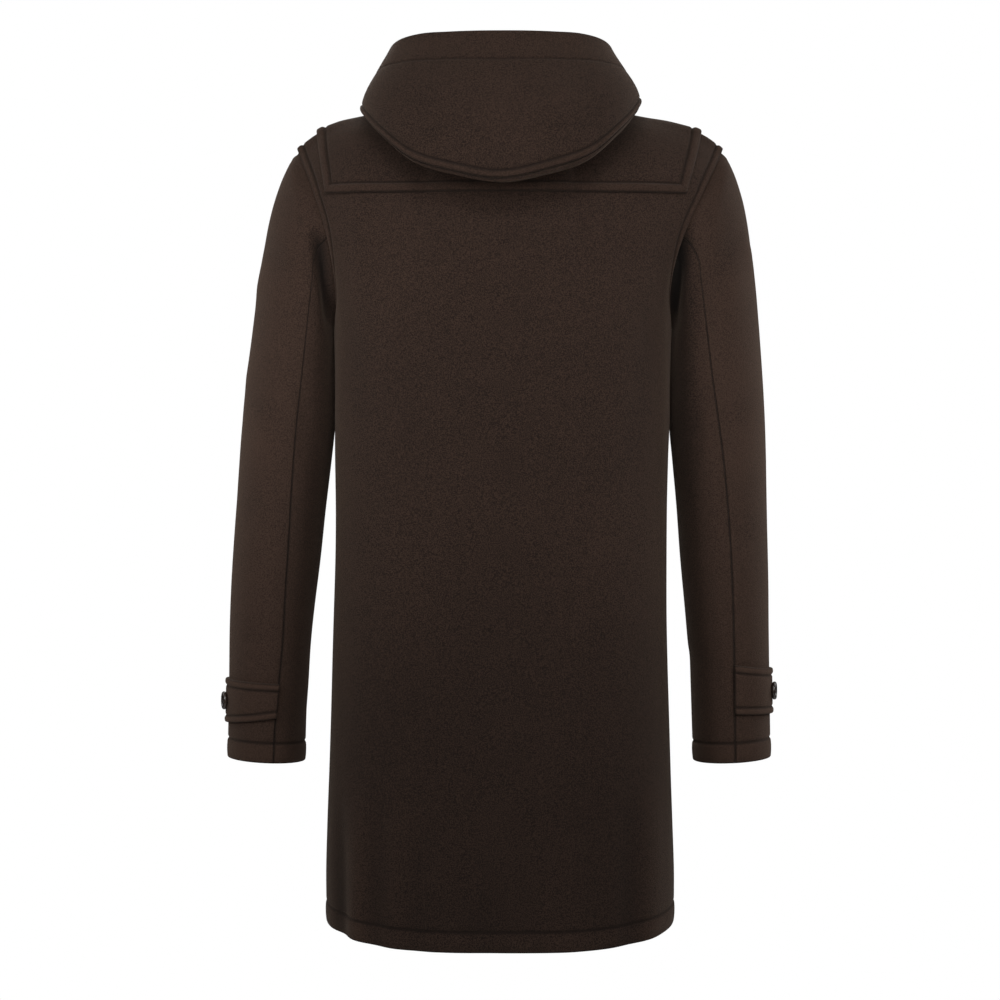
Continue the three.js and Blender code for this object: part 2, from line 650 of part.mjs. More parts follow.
const PATCH_SHAPE = [
  { away: 0, half: 8 },
  { away: 4, half: 11.5 },
  { away: 16, half: 14 },
  { away: 22, half: 14.5 },
  { away: 34, half: 13 },
  { away: 38, half: 9 },
]

function buildPatch(name, piece, fromX, side, level) {
  const rows = [-1, 0, 1].map((height) =>
    PATCH_SHAPE.map(({ away, half }) => {
      const x = fromX + side * away
      const z = level + height * half
      return [x, frontDepth([piece], x, z), z]
    }))
  const patch = new Sheet()
  patch.grid(side > 0 ? rows : rows.map((row) => row.slice().reverse()), 'patch')
  const lift = () => PATCH_THICKNESS + LAY_GAP + 0.15
  const options = { lift, wall: PATCH_THICKNESS }
  addMesh(name, cutPiece(patch, patch.normals(), () => true, options), LEATHER)
}

// Cord of six sides along a path, with flat ends
function buildCord(name, path) {
  const sides = 6
  const points = []
  const triangles = []
  let across = [0, 1, 0]
  path.forEach((point, k) => {
    const before = path[Math.max(0, k - 1)]
    const after = path[Math.min(path.length - 1, k + 1)]
    const ahead = unit(add(after, before, -1))
    across = unit(add(across, ahead, -dot(across, ahead)))
    const other = cross(ahead, across)
    for (let i = 0; i < sides; i += 1) {
      const angle = (2 * Math.PI * i) / sides
      const out = add(across.map((v) => v * Math.cos(angle)), other, Math.sin(angle))
      points.push(add(point, out, CORD_RADIUS))
    }
  })
  for (let k = 0; k + 1 < path.length; k += 1) {
    for (let i = 0; i < sides; i += 1) {
      const next = (i + 1) % sides
      const [a, b] = [k * sides + i, k * sides + next]
      triangles.push([a, b, b + sides], [a, b + sides, a + sides])
    }
  }
  const last = (path.length - 1) * sides
  for (let i = 1; i + 1 < sides; i += 1) {
    triangles.push([0, i + 1, i], [last, last + i, last + i + 1])
  }
  addMesh(name, { points, triangles }, CORD)
}

const TOGGLE_PROFILE = [
  [0, -26],
  [3.6, -25.6],
  [5.8, -23],
  [7, -17],
  [7, -10.5],
  [4.6, -8.2],
  [4.6, 8.2],
  [7, 10.5],
  [7, 17],
  [5.8, 23],
  [3.6, 25.6],
  [0, 26],
]
const CORD_LAY = CORD_RADIUS + 0.5
const CORD_STEP = 2 * CORD_RADIUS + 0.35
const WRAP_RADIUS = 4.6 + 0.35 + CORD_RADIUS
const TOGGLE_LAY = 2 * CORD_STEP + 7.4
const LEFT_PATCH_X = 34
const RIGHT_PATCH_X = -80

// Loop of the left front: it lies flat and closes under the toggle's waist
function leftLoop(level) {
  const lay = (x, z) => [x, frontDepth([frontLeft], x, z) - CORD_LAY, z]
  const straight = [LEFT_PATCH_X - 0.6, 18, 2, -14, -28]
  const upper = straight.map((x) => lay(x, level + 6.5))
  const bend = [30, 60, 90, 120, 150].map((angle) =>
    lay(-28 - 6.5 * Math.sin(radians(angle)), level + 6.5 * Math.cos(radians(angle))))
  const lower = straight.map((x) => lay(x, level - 6.5)).reverse()
  return [...upper, ...bend, ...lower]
}

// Cord of the right front: two strands that pass over the loop and round the waist
function rightCord(level) {
  const both = [frontLeft, frontRight]
  const surface = (x, z) => Math.min(
    frontDepth(both, x, z), frontDepth(both, x - 3, z), frontDepth(both, x + 3, z))
  const axisY = frontDepth([frontLeft], TOGGLE_X, level) - TOGGLE_LAY
  const strand = (side) => [
    ...[RIGHT_PATCH_X + 0.6, -68, -57].map((x) => {
      const z = level + side * 2.3
      return [x, surface(x, z) - CORD_LAY, z]
    }),
    [-46, surface(-46, level) - CORD_LAY - 2.2, level + side * 2.4],
    [-36.5, surface(-36.5, level) - CORD_LAY - CORD_STEP, level + side * 2.8],
    [-30.5, axisY + 6.4, level + side * 4.6],
    [-27.6, axisY + 2, level + side * 6.6],
    [TOGGLE_X, axisY - 2.6, level + side * 6.25],
    [TOGGLE_X, axisY - 5.8, level + side * 3.4],
  ]
  const front = [TOGGLE_X, axisY - WRAP_RADIUS - 0.1, level]
  return [...strand(1), front, ...strand(-1).reverse()]
}

TOGGLE_LEVELS.forEach((level, k) => {
  const axisY = frontDepth([frontLeft], TOGGLE_X, level) - TOGGLE_LAY
  const number = k + 1
  const centre = [TOGGLE_X, axisY, level]
  addMesh(`toggle_${number}`, turnedBody(TOGGLE_PROFILE, 10, centre, [1, 0, 0]), HORN)
  buildCord(`loop_left_${number}`, leftLoop(level))
  buildCord(`cord_right_${number}`, rightCord(level))
  buildPatch(`patch_left_${number}`, frontLeft, LEFT_PATCH_X, 1, level)
  buildPatch(`patch_right_${number}`, frontRight, RIGHT_PATCH_X, -1, level)
})

export default group
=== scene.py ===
"""A duffle coat as it stands when worn, without a wearer, seen from the back.

The cloth pieces are laid out again from the pattern of the solid coat, in millimetres, then cut
finer, sewn and creased. Up is +Z, the front looks along -Y and the wearer's left is +X.
"""

import math
from functools import lru_cache

import bpy
import numpy as np
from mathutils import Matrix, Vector
from mathutils.bvhtree import BVHTree


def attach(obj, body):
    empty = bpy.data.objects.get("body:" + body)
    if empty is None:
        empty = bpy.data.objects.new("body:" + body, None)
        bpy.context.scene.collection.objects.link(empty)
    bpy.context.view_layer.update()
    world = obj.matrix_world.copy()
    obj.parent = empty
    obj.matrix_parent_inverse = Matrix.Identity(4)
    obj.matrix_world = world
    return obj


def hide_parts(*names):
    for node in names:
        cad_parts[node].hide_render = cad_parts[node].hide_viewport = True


bl_info = {
    "name": "Duffle coat",
    "version": (1, 0, 0),
    "blender": (4, 5, 0),
    "location": "3D View > Sidebar > Coat",
    "description": "Sews a duffle coat of wool cloth round its solid pieces",
    "category": "Object",
}

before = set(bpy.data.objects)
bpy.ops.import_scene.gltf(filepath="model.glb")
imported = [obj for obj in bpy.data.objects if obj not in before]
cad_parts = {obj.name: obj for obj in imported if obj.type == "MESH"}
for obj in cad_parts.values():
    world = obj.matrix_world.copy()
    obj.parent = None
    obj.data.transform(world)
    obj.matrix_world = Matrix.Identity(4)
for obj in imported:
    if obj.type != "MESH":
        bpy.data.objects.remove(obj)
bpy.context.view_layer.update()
MM = 0.001

# Pattern of the body: level sections from the hem up to the underarms
SECTION_LEVELS = (-908, -835, -735, -650, -540, -450, -370, -300, -235)
SECTION_HALF_WIDTHS = (190, 191, 187.5, 185, 182.4, 182, 183, 183.4, 184)
SECTION_FRONTS = (134, 134, 132, 130, 128, 127, 126, 124, 122)
SECTION_BACKS = (126, 126, 125, 123, 120, 118, 118, 119, 120)
SECTION_POWER = 2.5
LOWER_LEVELS = (-880, -838, -785, -730, -672, -614, -556, -498, -440, -385, -332, -282)
HEM_LEVEL, HEM_SAG, HEM_POWER = -893, {1: 16, -1: 9}, 4
CHEST_LEVEL, CHEST_HALF_WIDTH = -235, 184
LAP_REACH, LAP_DROP = 50, 3.4
NECK_HALF_WIDTH = 78
NECK_BACK, NECK_FRONT = (65, -15), (-88, -75)
YOKE_REACH, YOKE_BACK_LEVEL, YOKE_BACK_RISE, YOKE_FRONT_LEVEL = 210.5, -109, 4, -125
YOKE_ROWS = 6
WALL, LAY_GAP = 3, 0.3
WORDS = {1: "left", -1: "right"}

# Shoulder line outside the neck: distance from the middle, y and z
SHOULDER_LINE = np.array((
    (78, 0, 0), (100, 0.5, -4.5), (125, 1, -10), (158, 2.5, -17), (182, 4, -22),
    (210.5, 4.5, -32), (234, 5, -49),
))

# Upright lines of the upper body: place on the neckline or shoulder, place at the chest, the
# handle at the start (x, y, z) and the handle at the end (x, y, z)
BACK_LINES = (
    (0, 0, 0, 2, 100, 0, 45, -60),
    (39, 39, 0, 2, 100, 0, 50, -56),
    (67, 67, 0, 3, 98, 0, 67, -46),
    (78, 80, 0, 3, 97, 0, 91, -35),
    (100, 102, 0, 4, 96, 0, 89, -30),
    (125, 125, 0, 6, 95, 0, 86, -28),
    (158, 148, -1, 13, 90, 0, 83, -30),
    (182, 165, -3, 22, 82, -2, 77, -38),
    (210.5, 178, -7, 38, 68, -9, 69, -50),
    (234, 184, -12, 76, 60, -25, 66, -61),
)
FRONT_LINES = (
    (0, 0, 0, 0, 60, 0, -22, -50),
    (25, 25, 0, 0, 65, 0, -25, -50),
    (50, 50, 0, 0, 72, 0, -32, -50),
    (56, 56, 0, 0, 75, 0, -36, -49),
    (67, 67, 0, 0, 80, 0, -45, -48),
    (78, 80, 0, 0, 90, 0, -72, -38),
    (100, 102, 0, -2, 92, 0, -80, -34),
    (125, 125, 0, -5, 92, 0, -84, -32),
    (158, 148, -1, -12, 88, 0, -84, -34),
    (182, 165, -3, -22, 80, -2, -78, -40),
    (210.5, 178, -7, -38, 64, -9, -70, -52),
    (234, 184, -12, -76, 58, -25, -67, -62),
)

# Rings of a sleeve: outermost x and z, innermost x and z, middle and half of the depth, and
# the angle of the back seam on the left and the right sleeve
SLEEVE_RINGS = np.array((
    (240, -60.5, 185.6, -246, -4, 58, 102, 103),
    (250.5, -82, 185.4, -262, -8, 60, 105, 104.5),
    (261, -115, 185.1, -285, -12, 61, 106, 104.5),
    (270, -160, 184.9, -315, -16, 61, 105.5, 102.5),
    (277.3, -214, 185.3, -350, -19, 61, 104.5, 99.5),
    (284, -280, 189.5, -392, -22, 60, 105, 96),
    (289.5, -350, 194.5, -440, -24, 59, 107, 92),
    (294, -434, 199.6, -497, -26, 58, 110, 88.5),
    (297.8, -515, 205.6, -552, -28, 57, 113, 88),
    (299.5, -575, 209.5, -592, -30, 56, 114.5, 88.5),
))
CUFF_RING = np.array((302, -719, 217, -724, -36, 55, 107, 92))
# Rings at the top, middle and bottom of the cuff tab: outermost and innermost z
TAB_LEVELS = {1: ((-631, -637), (-655.5, -653), (-680, -669)),
              -1: ((-620, -608), (-645, -637), (-670, -666))}
RING_POINTS, BACK_SEAM, UNDERARM, FRONT_SEAM_ANGLE = 24, 8, 12, 118

# The lying hood by the angle round the neck from the back: reach and level of the fold, reach
# and level of the face opening, height of the roll, how far the crown swells and rises from
# the seam, and how far it leans out and drops from the face opening
HOOD_ANGLES = (0, 30, 45, 60, 75, 90, 105, 120, 135, 150, 165)
HOOD_SHAPE = np.array((
    (150, -105, 92, 65, 32, 12, 70, 9, 38),
    (160, -88, 97, 65.5, 32, 12, 64, 10, 37),
    (166, -60, 106, 66.5, 31, 8, 50, 10, 34),
    (165, -31, 118, 64.5, 29, 4, 34, 10, 28),
    (156, -15, 123, 60, 27, 2, 22, 8, 22),
    (150, -9, 119, 52, 25, 2, 16, 12, 20),
    (141, -18, 116, 34, 23, 2, 14, 10, 18),
    (131, -38, 110, 8, 20, 2, 12, 8, 16),
    (123, -62, 105, -20, 17, 2, 11, 6, 13),
    (119, -80, 105, -44, 14, 2, 9, 4, 10),
    (116, -91, 107, -60, 11, 2, 8, 3, 8),
))
HOOD_SEAM_ROW = 7
HOOD_SEAM_RISE = {1: 2, 0: 5, -1: 10}

TOGGLE_X, TOGGLE_LEVELS = -27, (-150, -285, -420, -555)
LEFT_PATCH_X, RIGHT_PATCH_X = 34, -80
CORD_RADIUS, LOOP_HALF_WIDTH, CORD_HALF_WIDTH = 1.8, 6.5, 2.3
CORD_LAY, CORD_STEP = CORD_RADIUS + 0.5, 2 * CORD_RADIUS + 0.35
TOGGLE_LAY = 2 * CORD_STEP + 7.4


# Curves and surfaces

def along(keys, values, at):
    """Values on a smooth curve through the rows of a rising table."""
    keys, values = np.asarray(keys, float), np.asarray(values, float)
    at = np.asarray(at, float)
    last = len(keys) - 1
    before = np.maximum(np.arange(last + 1) - 1, 0)
    after = np.minimum(np.arange(last + 1) + 1, last)
    wide = (...,) + (None,) * (values.ndim - 1)
    slopes = (values[after] - values[before]) / (keys[after] - keys[before])[wide]
    i = np.clip(np.searchsorted(keys, at) - 1, 0, last - 1)
    span = (keys[i + 1] - keys[i])[wide]
    t = np.clip((at - keys[i]) / (keys[i + 1] - keys[i]), 0, 1)[wide]
    rise = values[i + 1] - values[i]
    bend = (1 - t) * slopes[i] - t * slopes[i + 1] - (1 - 2 * t) * rise / span
    return values[i] + rise * t + t * (1 - t) * span * bend


def ease(t):
    u = np.clip(t, 0, 1)
    return u * u * (3 - 2 * u)


def unit(v):
    return v / np.maximum(np.linalg.norm(v, axis=-1, keepdims=True), 1e-12)


def bezier(a, b, c, d, t):
    t = np.asarray(t, float)[..., None]
    s = 1 - t
    a, b, c, d = (np.asarray(p, float) for p in (a, b, c, d))
    return s**3 * a + 3 * s * s * t * b + 3 * s * t * t * c + t**3 * d


SWAY, SWAY_BACK, SWAY_FROM_LEVEL, SWAY_RISE = 10, -2, -480, 431
SWAY_FROM_X, SWAY_FADE = 150, 75


def swayed(points):
    """Moves the shoulders and upper sleeves sideways, as the coat hangs."""
    points = np.array(points, float)
    share = (points[..., 2] - SWAY_FROM_LEVEL) / SWAY_RISE
    amount = np.clip(SWAY * share, SWAY_BACK, SWAY)
    points[..., 0] -= amount * ease((np.abs(points[..., 0]) - SWAY_FROM_X) / SWAY_FADE)
    return points


def framed(net, before=None, after=None, below=None, above=None):
    """Adds one spare line past each edge of a net, so that it runs on smoothly there."""
    before = 2 * net[:, 0] - net[:, 1] if before is None else before
    after = 2 * net[:, -1] - net[:, -2] if after is None else after
    net = np.concatenate([before[:, None], net, after[:, None]], axis=1)
    low, high = 2 * net[0] - net[1], 2 * net[-1] - net[-2]
    if below is not None:
        low[1:-1] = below
    if above is not None:
        high[1:-1] = above
    return np.concatenate([low[None], net, high[None]], axis=0)


def mean_keys(net, axis):
    steps = np.linalg.norm(np.diff(net, axis=axis), axis=2).mean(axis=1 - axis)
    return np.concatenate([[0], np.cumsum(np.maximum(steps, 1))])


class Surface:
    """Smooth surface through a net of points that has one spare line past each edge."""

    def __init__(self, net):
        self.net = net
        self.up = mean_keys(net, 0)
        self.across = mean_keys(net, 1)

    def at(self, up, across):
        rows = along(self.up, np.eye(len(self.up)), up)
        columns = along(self.across, np.eye(len(self.across)), across)
        return np.einsum("ij,jkx,lk->ilx", rows, self.net, columns)

    def normals(self, up, across):
        run = self.at(up, across + 0.4) - self.at(up, across - 0.4)
        rise = self.at(up + 0.4, across) - self.at(up - 0.4, across)
        return unit(np.cross(run, rise))

    def cut(self, rows, columns, grain=2.5):
        """Dense points and normals between two rows and two columns of the net."""
        (low, high), (left, right) = self.up[np.add(rows, 1)], self.across[np.add(columns, 1)]
        up = np.linspace(low, high, max(3, int((high - low) / grain)))
        across = np.linspace(left, right, max(3, int((right - left) / grain)))
        return np.concatenate([self.at(up, across), self.normals(up, across)], axis=2)


def spread(grid, first, last, step, count=None):
    """Spaces the columns of a grid by true length: the given distances from both edges, and
    even steps between. Adds the distance from the first and from the last edge."""
    steps = np.linalg.norm(np.diff(grid[..., :3], axis=1), axis=2)
    run = np.concatenate([np.zeros((len(grid), 1)), np.cumsum(steps, axis=1)], axis=1)
    ends = first[-1] + last[-1]
    count = count or max(2, int((run[:, -1].mean() - ends) / step))
    share = np.linspace(0, 1, count + 1)[1:-1]
    out = []
    for row, length in zip(grid, run):
        fit = min(1, 0.9 * length[-1] / ends)
        start, stop = np.multiply(first, fit), length[-1] - np.multiply(last, fit)[::-1]
        where = np.concatenate([start, start[-1] + (stop[0] - start[-1]) * share, stop])
        parts = [np.interp(where, length, row[:, k]) for k in range(row.shape[1])]
        out.append(np.stack(parts + [where, length[-1] - where], axis=1))
    return np.array(out)


PLAIN_EDGE = (0, 0.35, 0.8, 1.4, 2.4, 4.5)
BARE_EDGE = (0, 2.5)


def stitched_edge(offset):
    """Distances from an edge, close together at the edge and at its stitch line."""
    near = [0, 0.35, 0.8, 1.4, 2.6] + ([offset * 0.35, offset * 0.6] if offset > 15 else [])
    line = [offset + d for d in (-4.4, -2.8, -1.8, -1, -0.4, 0, 0.4, 1, 1.8, 2.8, 4.4, 7)]
    return near + [d for d in line if d > near[-1] + 0.5]


SIDES = {"left": 0, "right": 1, "below": 2, "above": 3}
FAR = 60.0


class Patch:
    """A grid of one cloth piece with its distances from the four sides."""

    def __init__(self, grid, steps, real, seams=(), step=5.5):
        left, right, below, above = steps
        self.fill(spread(grid, left, right, step), (below, above), real, seams, step)

    def fill(self, grid, steps, real, seams, step, rows=None):
        """Spaces the rows of a grid whose columns are spaced, and keeps its parts."""
        grid = spread(grid.transpose(1, 0, 2), *steps, step, rows).transpose(1, 0, 2)
        self.points, self.normals = grid[..., :3], unit(grid[..., 3:6])
        self.side = np.moveaxis(grid[..., 6:10], 2, 0)
        self.real, self.seams = real, seams

    def edge(self, names):
        far = np.full(self.points.shape[:2], FAR)
        return np.min([far, *(self.side[SIDES[name]] for name in names)], axis=0)

    def run(self, names):
        """Distance along the nearest of the named sides."""
        upright = [self.side[SIDES[n]] if n in ("left", "right") else np.inf for n in names]
        level = [self.side[SIDES[n]] if n in ("below", "above") else np.inf for n in names]
        shape = self.points.shape[:2]
        upright = np.min([np.broadcast_to(d, shape) for d in upright], axis=0)
        level = np.min([np.broadcast_to(d, shape) for d in level], axis=0)
        return np.where(upright < level, self.side[2], self.side[0])


# The coat's surfaces

def section_point(foot, face, level):
    half = along(SECTION_LEVELS, SECTION_HALF_WIDTHS, level)
    depth = along(SECTION_LEVELS, SECTION_BACKS if face > 0 else SECTION_FRONTS, level)
    out = (half - LAP_REACH) / (CHEST_HALF_WIDTH - LAP_REACH)
    x = foot if foot <= LAP_REACH else LAP_REACH + (foot - LAP_REACH) * out
    y = depth * max(0, 1 - (x / half) ** SECTION_POWER) ** (1 / SECTION_POWER)
    return x, 0 if foot == CHEST_HALF_WIDTH else face * y, level


def line_top(top, face):
    if top >= NECK_HALF_WIDTH:
        return [top, *along(SHOULDER_LINE[:, 0], SHOULDER_LINE[:, 1:], top)]
    turn = math.cos(math.asin(top / NECK_HALF_WIDTH))
    y, z = NECK_BACK if face > 0 else NECK_FRONT
    return [top, y * turn, z * (turn if face > 0 else turn**1.2)]


def body_line(line, face):
    """Points of one upright line of the body from the hem to the top."""
    top, foot, handles = line[0], line[1], line[2:]
    start, end = np.array(section_point(foot, face, CHEST_LEVEL)), np.array(line_top(top, face))
    handles = start + handles[:3], end + handles[3:]
    level = YOKE_FRONT_LEVEL
    if face > 0:
        level = YOKE_BACK_LEVEL + YOKE_BACK_RISE * (top / YOKE_REACH) ** 2
    low, high = 0.0, 1.0
    for _ in range(40):
        middle = (low + high) / 2
        if bezier(start, *handles, end, middle)[2] < level:
            low = middle
        else:
            high = middle
    hem = HEM_LEVEL - HEM_SAG[face] * (1 - (foot / CHEST_HALF_WIDTH) ** HEM_POWER)
    below = [section_point(foot, face, level) for level in (hem, *LOWER_LEVELS)]
    shares = np.concatenate([
        np.linspace(0, low, YOKE_ROWS + 1), np.linspace(low, 1, YOKE_ROWS + 1)[1:]])
    return np.concatenate([below, bezier(start, *handles, end, shares)])


def body_rows(lines, face):
    half = [body_line(line, face) for line in lines]
    whole = [points * (-1, 1, 1) for points in half[:0:-1]] + half
    return swayed(np.stack(whole[::-1] if face > 0 else whole, axis=1))


CHEST_ROW = len(LOWER_LEVELS) + 1
YOKE_ROW = CHEST_ROW + YOKE_ROWS
TOP_ROW = YOKE_ROW + YOKE_ROWS
FRONT_TOPS = [-line[0] for line in FRONT_LINES[:0:-1]] + [line[0] for line in FRONT_LINES]
BACK_TOPS = [line[0] for line in BACK_LINES[:0:-1]] + [-line[0] for line in BACK_LINES]


@lru_cache
def body_surfaces():
    """The front and the back, which run on into each other at the sides and shoulders."""
    front, back = body_rows(FRONT_LINES, -1), body_rows(BACK_LINES, 1)

    def beside(own, other):
        spare = 2 * own[:, 0] - own[:, 1]
        spare[:CHEST_ROW + 1] = other[:CHEST_ROW + 1]
        return spare

    def over(own, tops, other, other_tops):
        spare = 2 * own[-1] - own[-2]
        for k, top in enumerate(tops):
            if abs(top) >= NECK_HALF_WIDTH:
                spare[k] = other[-2][other_tops.index(top)]
        return spare

    made = {}
    for name, own, tops, other, other_tops in (
        ("front", front, FRONT_TOPS, back, BACK_TOPS),
        ("back", back, BACK_TOPS, front, FRONT_TOPS),
    ):
        made[name] = Surface(framed(
            own,
            before=beside(own, other[:, -2]),
            after=beside(own[:, ::-1], other[:, 1]),
            above=over(own, tops, other, other_tops),
        ))
    return made


def armhole_loop(side):
    """Armhole edge from the shoulder down the back to the underarm and up the front."""
    front = body_surfaces()["front"].net[1:-1, 1:-1]
    back = body_surfaces()["back"].net[1:-1, 1:-1]
    back_edge, front_edge = (back[:, 0], front[:, -1]) if side > 0 else (back[:, -1], front[:, 0])
    return np.concatenate([back_edge[CHEST_ROW:][::-1], front_edge[CHEST_ROW + 1:-1]])


def sleeve_ring(ring, side):
    seam = ring[6 if side > 0 else 7]
    front = 360 - FRONT_SEAM_ANGLE
    angles = np.interp(
        np.arange(RING_POINTS),
        (0, BACK_SEAM, UNDERARM, RING_POINTS - BACK_SEAM, RING_POINTS),
        (0, seam, 180, front, 360),
    ) * math.pi / 180
    share = (1 + np.cos(angles)) / 2
    x, z = ring[2] + (ring[0] - ring[2]) * share, ring[3] + (ring[1] - ring[3]) * share
    return swayed(np.stack([side * x, ring[4] + ring[5] * np.sin(angles), z], axis=1))


FIRST_SPOKE, LAST_SPOKE = -9, 17


@lru_cache
def sleeve_surface(side):
    """Rows from the cuff up to the armhole, spokes from the front round the outside."""
    low = SLEEVE_RINGS[-1]
    tab = []
    for out_z, in_z in TAB_LEVELS[side]:
        tab.append(low + (CUFF_RING - low) * (out_z - low[1]) / (CUFF_RING[1] - low[1]))
        tab[-1][[1, 3]] = out_z, in_z
    rings = [sleeve_ring(ring, side) for ring in (*SLEEVE_RINGS, *tab, CUFF_RING)]
    loop = armhole_loop(side)
    start = loop + 0.4 * unit(rings[0] - loop) + (side * 0.7, 0, 0)
    net = np.array([start, *rings])[::-1]
    spokes = np.arange(FIRST_SPOKE, LAST_SPOKE + 1)[::side] % RING_POINTS
    net = net[:, spokes]
    return Surface(framed(net[:, 1:-1], before=net[:, 0], after=net[:, -1]))


def spoke_columns(first, last, side):
    """Places of two spokes of the sleeve in its surface, in their order there."""
    place = (lambda s: s - FIRST_SPOKE - 1) if side > 0 else (lambda s: LAST_SPOKE - 1 - s)
    return sorted((place(first), place(last)))


def hood_start():
    """Lower edge of the hood, inside the neck edge of the body."""
    def neck(name, k):
        surface = body_surfaces()[name]
        point = surface.net[-2, k + 1]
        normal = surface.normals(surface.up[-2:-1], surface.across[k + 1:k + 2])[0, 0]
        lapped = abs(point[0]) < LAP_REACH + 1 and point[1] < 0
        inner = point - normal * (WALL + (LAP_DROP if lapped else 0))
        return inner + 0.85 * unit(np.array([-point[0], -point[1], 0]))

    front_middle, back_middle = len(FRONT_LINES) - 1, len(BACK_LINES) - 1
    ring = [neck("front", front_middle + k) for k in range(1, 6)]
    ring += [neck("back", back_middle + k) for k in range(-2, 3)]
    ring += [neck("front", front_middle - k) for k in range(5, 0, -1)]
    halves = [(a + b) / 2 for a, b in zip(ring, ring[1:])]
    return [p for pair in zip(ring, halves) for p in pair] + [ring[-1]]


def hood_section(start):
    """Points from the neck edge round the fold to the edge of the face opening."""
    angle = math.atan2(start[0], start[1])
    fold_r, fold_z, rim_r, rim_z, roll, swell, rise, lean, drop = along(
        HOOD_ANGLES, HOOD_SHAPE, abs(math.degrees(angle)))
    side = math.sin(angle)
    tilt = HOOD_SEAM_RISE[1 if side > 0 else -1] - HOOD_SEAM_RISE[0]
    seam_rise = HOOD_SEAM_RISE[0] + tilt * abs(side)
    neck = math.hypot(start[0], start[1])
    room = min(1, (fold_r - neck) / 60)

    def at(r, z):
        return math.sin(angle) * r, math.cos(angle) * r, z

    under = at(fold_r - 16 * room, fold_z + 10 * room)
    low = bezier(start, at(neck + 4, start[2] + roll), at(fold_r - 40 * room, fold_z + 42 * room),
                 under, (0, 0.2, 0.4, 0.6, 0.8))
    crown = bezier(
        at(fold_r, fold_z + seam_rise),
        at(fold_r + swell * room, fold_z + seam_rise + rise),
        at(rim_r + lean, rim_z - drop * room),
        at(rim_r, rim_z),
        (0, 0.17, 0.34, 0.51, 0.68, 0.84, 1),
    )
    return np.concatenate([low, [under, at(fold_r - 7 * room, fold_z)], crown])


@lru_cache
def hood_surface():
    return Surface(framed(np.stack([hood_section(p) for p in hood_start()], axis=1)))


# Creases

# Soft folds: the side they show on, then points (across, level, height, half width) along
# each. Across is x on the back and front, and y on the sides. A height below 0 is a trough.
FOLDS = (
    ("back", (152, -740, 0, 12), (152, -820, 3.6, 12), (153, -886, 4.2, 12), (154, -908, 3, 12)),
    ("back", (172, -740, 0, 8), (171, -810, -3.4, 8), (170, -880, -4.2, 8), (170, -908, -3.4, 8)),
    ("left", (0, -222, 0, 26), (0, -250, 1.7, 26), (0, -290, 0.6, 26), (0, -320, 0, 26)),
    ("right", (0, -222, 0, 26), (0, -250, 1.7, 26), (0, -290, 0.6, 26), (0, -320, 0, 26)),
    ("back", (104, -700, 0, 20), (107, -780, 1.3, 20), (112, -860, 1.7, 18), (116, -905, 1.2, 16)),
    ("back", (84, -740, 0, 16), (88, -820, -1.2, 15), (92, -905, -1.5, 15)),
    ("back", (128, -720, 0, 12), (130, -810, -1.2, 12), (131, -905, -1.7, 11)),
    ("back", (-160, -690, 0, 15), (-160, -780, 1.8, 15), (-159, -905, 2.6, 15)),
    ("back", (-136, -700, 0, 13), (-136, -800, -1.6, 13), (-136, -905, -2.2, 13)),
    ("back", (-60, -760, 0, 24), (-62, -850, 0.9, 24), (-66, -905, 1.4, 22)),
    ("back", (20, -770, 0, 22), (18, -850, -0.9, 22), (16, -905, -1.3, 20)),
    ("back", (160, -250, -1.2, 12), (152, -330, -1, 14), (146, -420, 0, 16)),
    ("back", (-158, -250, -1.4, 12), (-150, -340, -1.1, 14), (-142, -430, 0, 16)),
    ("back", (120, -430, 0, 26), (96, -520, 0.9, 26), (84, -610, 0, 26)),
    ("back", (-110, -400, 0, 28), (-92, -500, 0.8, 28), (-84, -600, 0, 28)),
    ("back", (-40, -360, 0, 30), (-8, -400, -0.7, 30), (40, -420, 0, 30)),
    ("front", (138, -720, 0, 16), (141, -820, 2, 16), (144, -902, 2.8, 15)),
    ("front", (118, -740, 0, 13), (118, -830, -1.6, 12), (119, -902, -2.4, 12)),
    ("front", (-142, -700, 0, 15), (-144, -810, 1.9, 15), (-147, -902, 2.6, 15)),
    ("front", (-120, -720, 0, 12), (-121, -820, -1.4, 12), (-121, -902, -2.1, 12)),
    ("front", (84, -600, 0, 22), (80, -720, 1, 22), (78, -902, 1.4, 20)),
    ("front", (-88, -560, 0, 22), (-86, -700, 0.9, 22), (-84, -902, 1.3, 20)),
    ("front", (158, -250, -1.5, 12), (146, -330, -1.3, 14), (132, -420, 0, 16)),
    ("front", (-158, -250, -1.4, 12), (-147, -320, -1.3, 14), (-135, -400, 0, 16)),
    ("front", (110, -330, 0, 20), (70, -370, -0.8, 22), (36, -380, 0, 22)),
    ("right", (30, -300, 0, 14), (22, -340, 1, 14), (0, -380, 0, 14)),
)
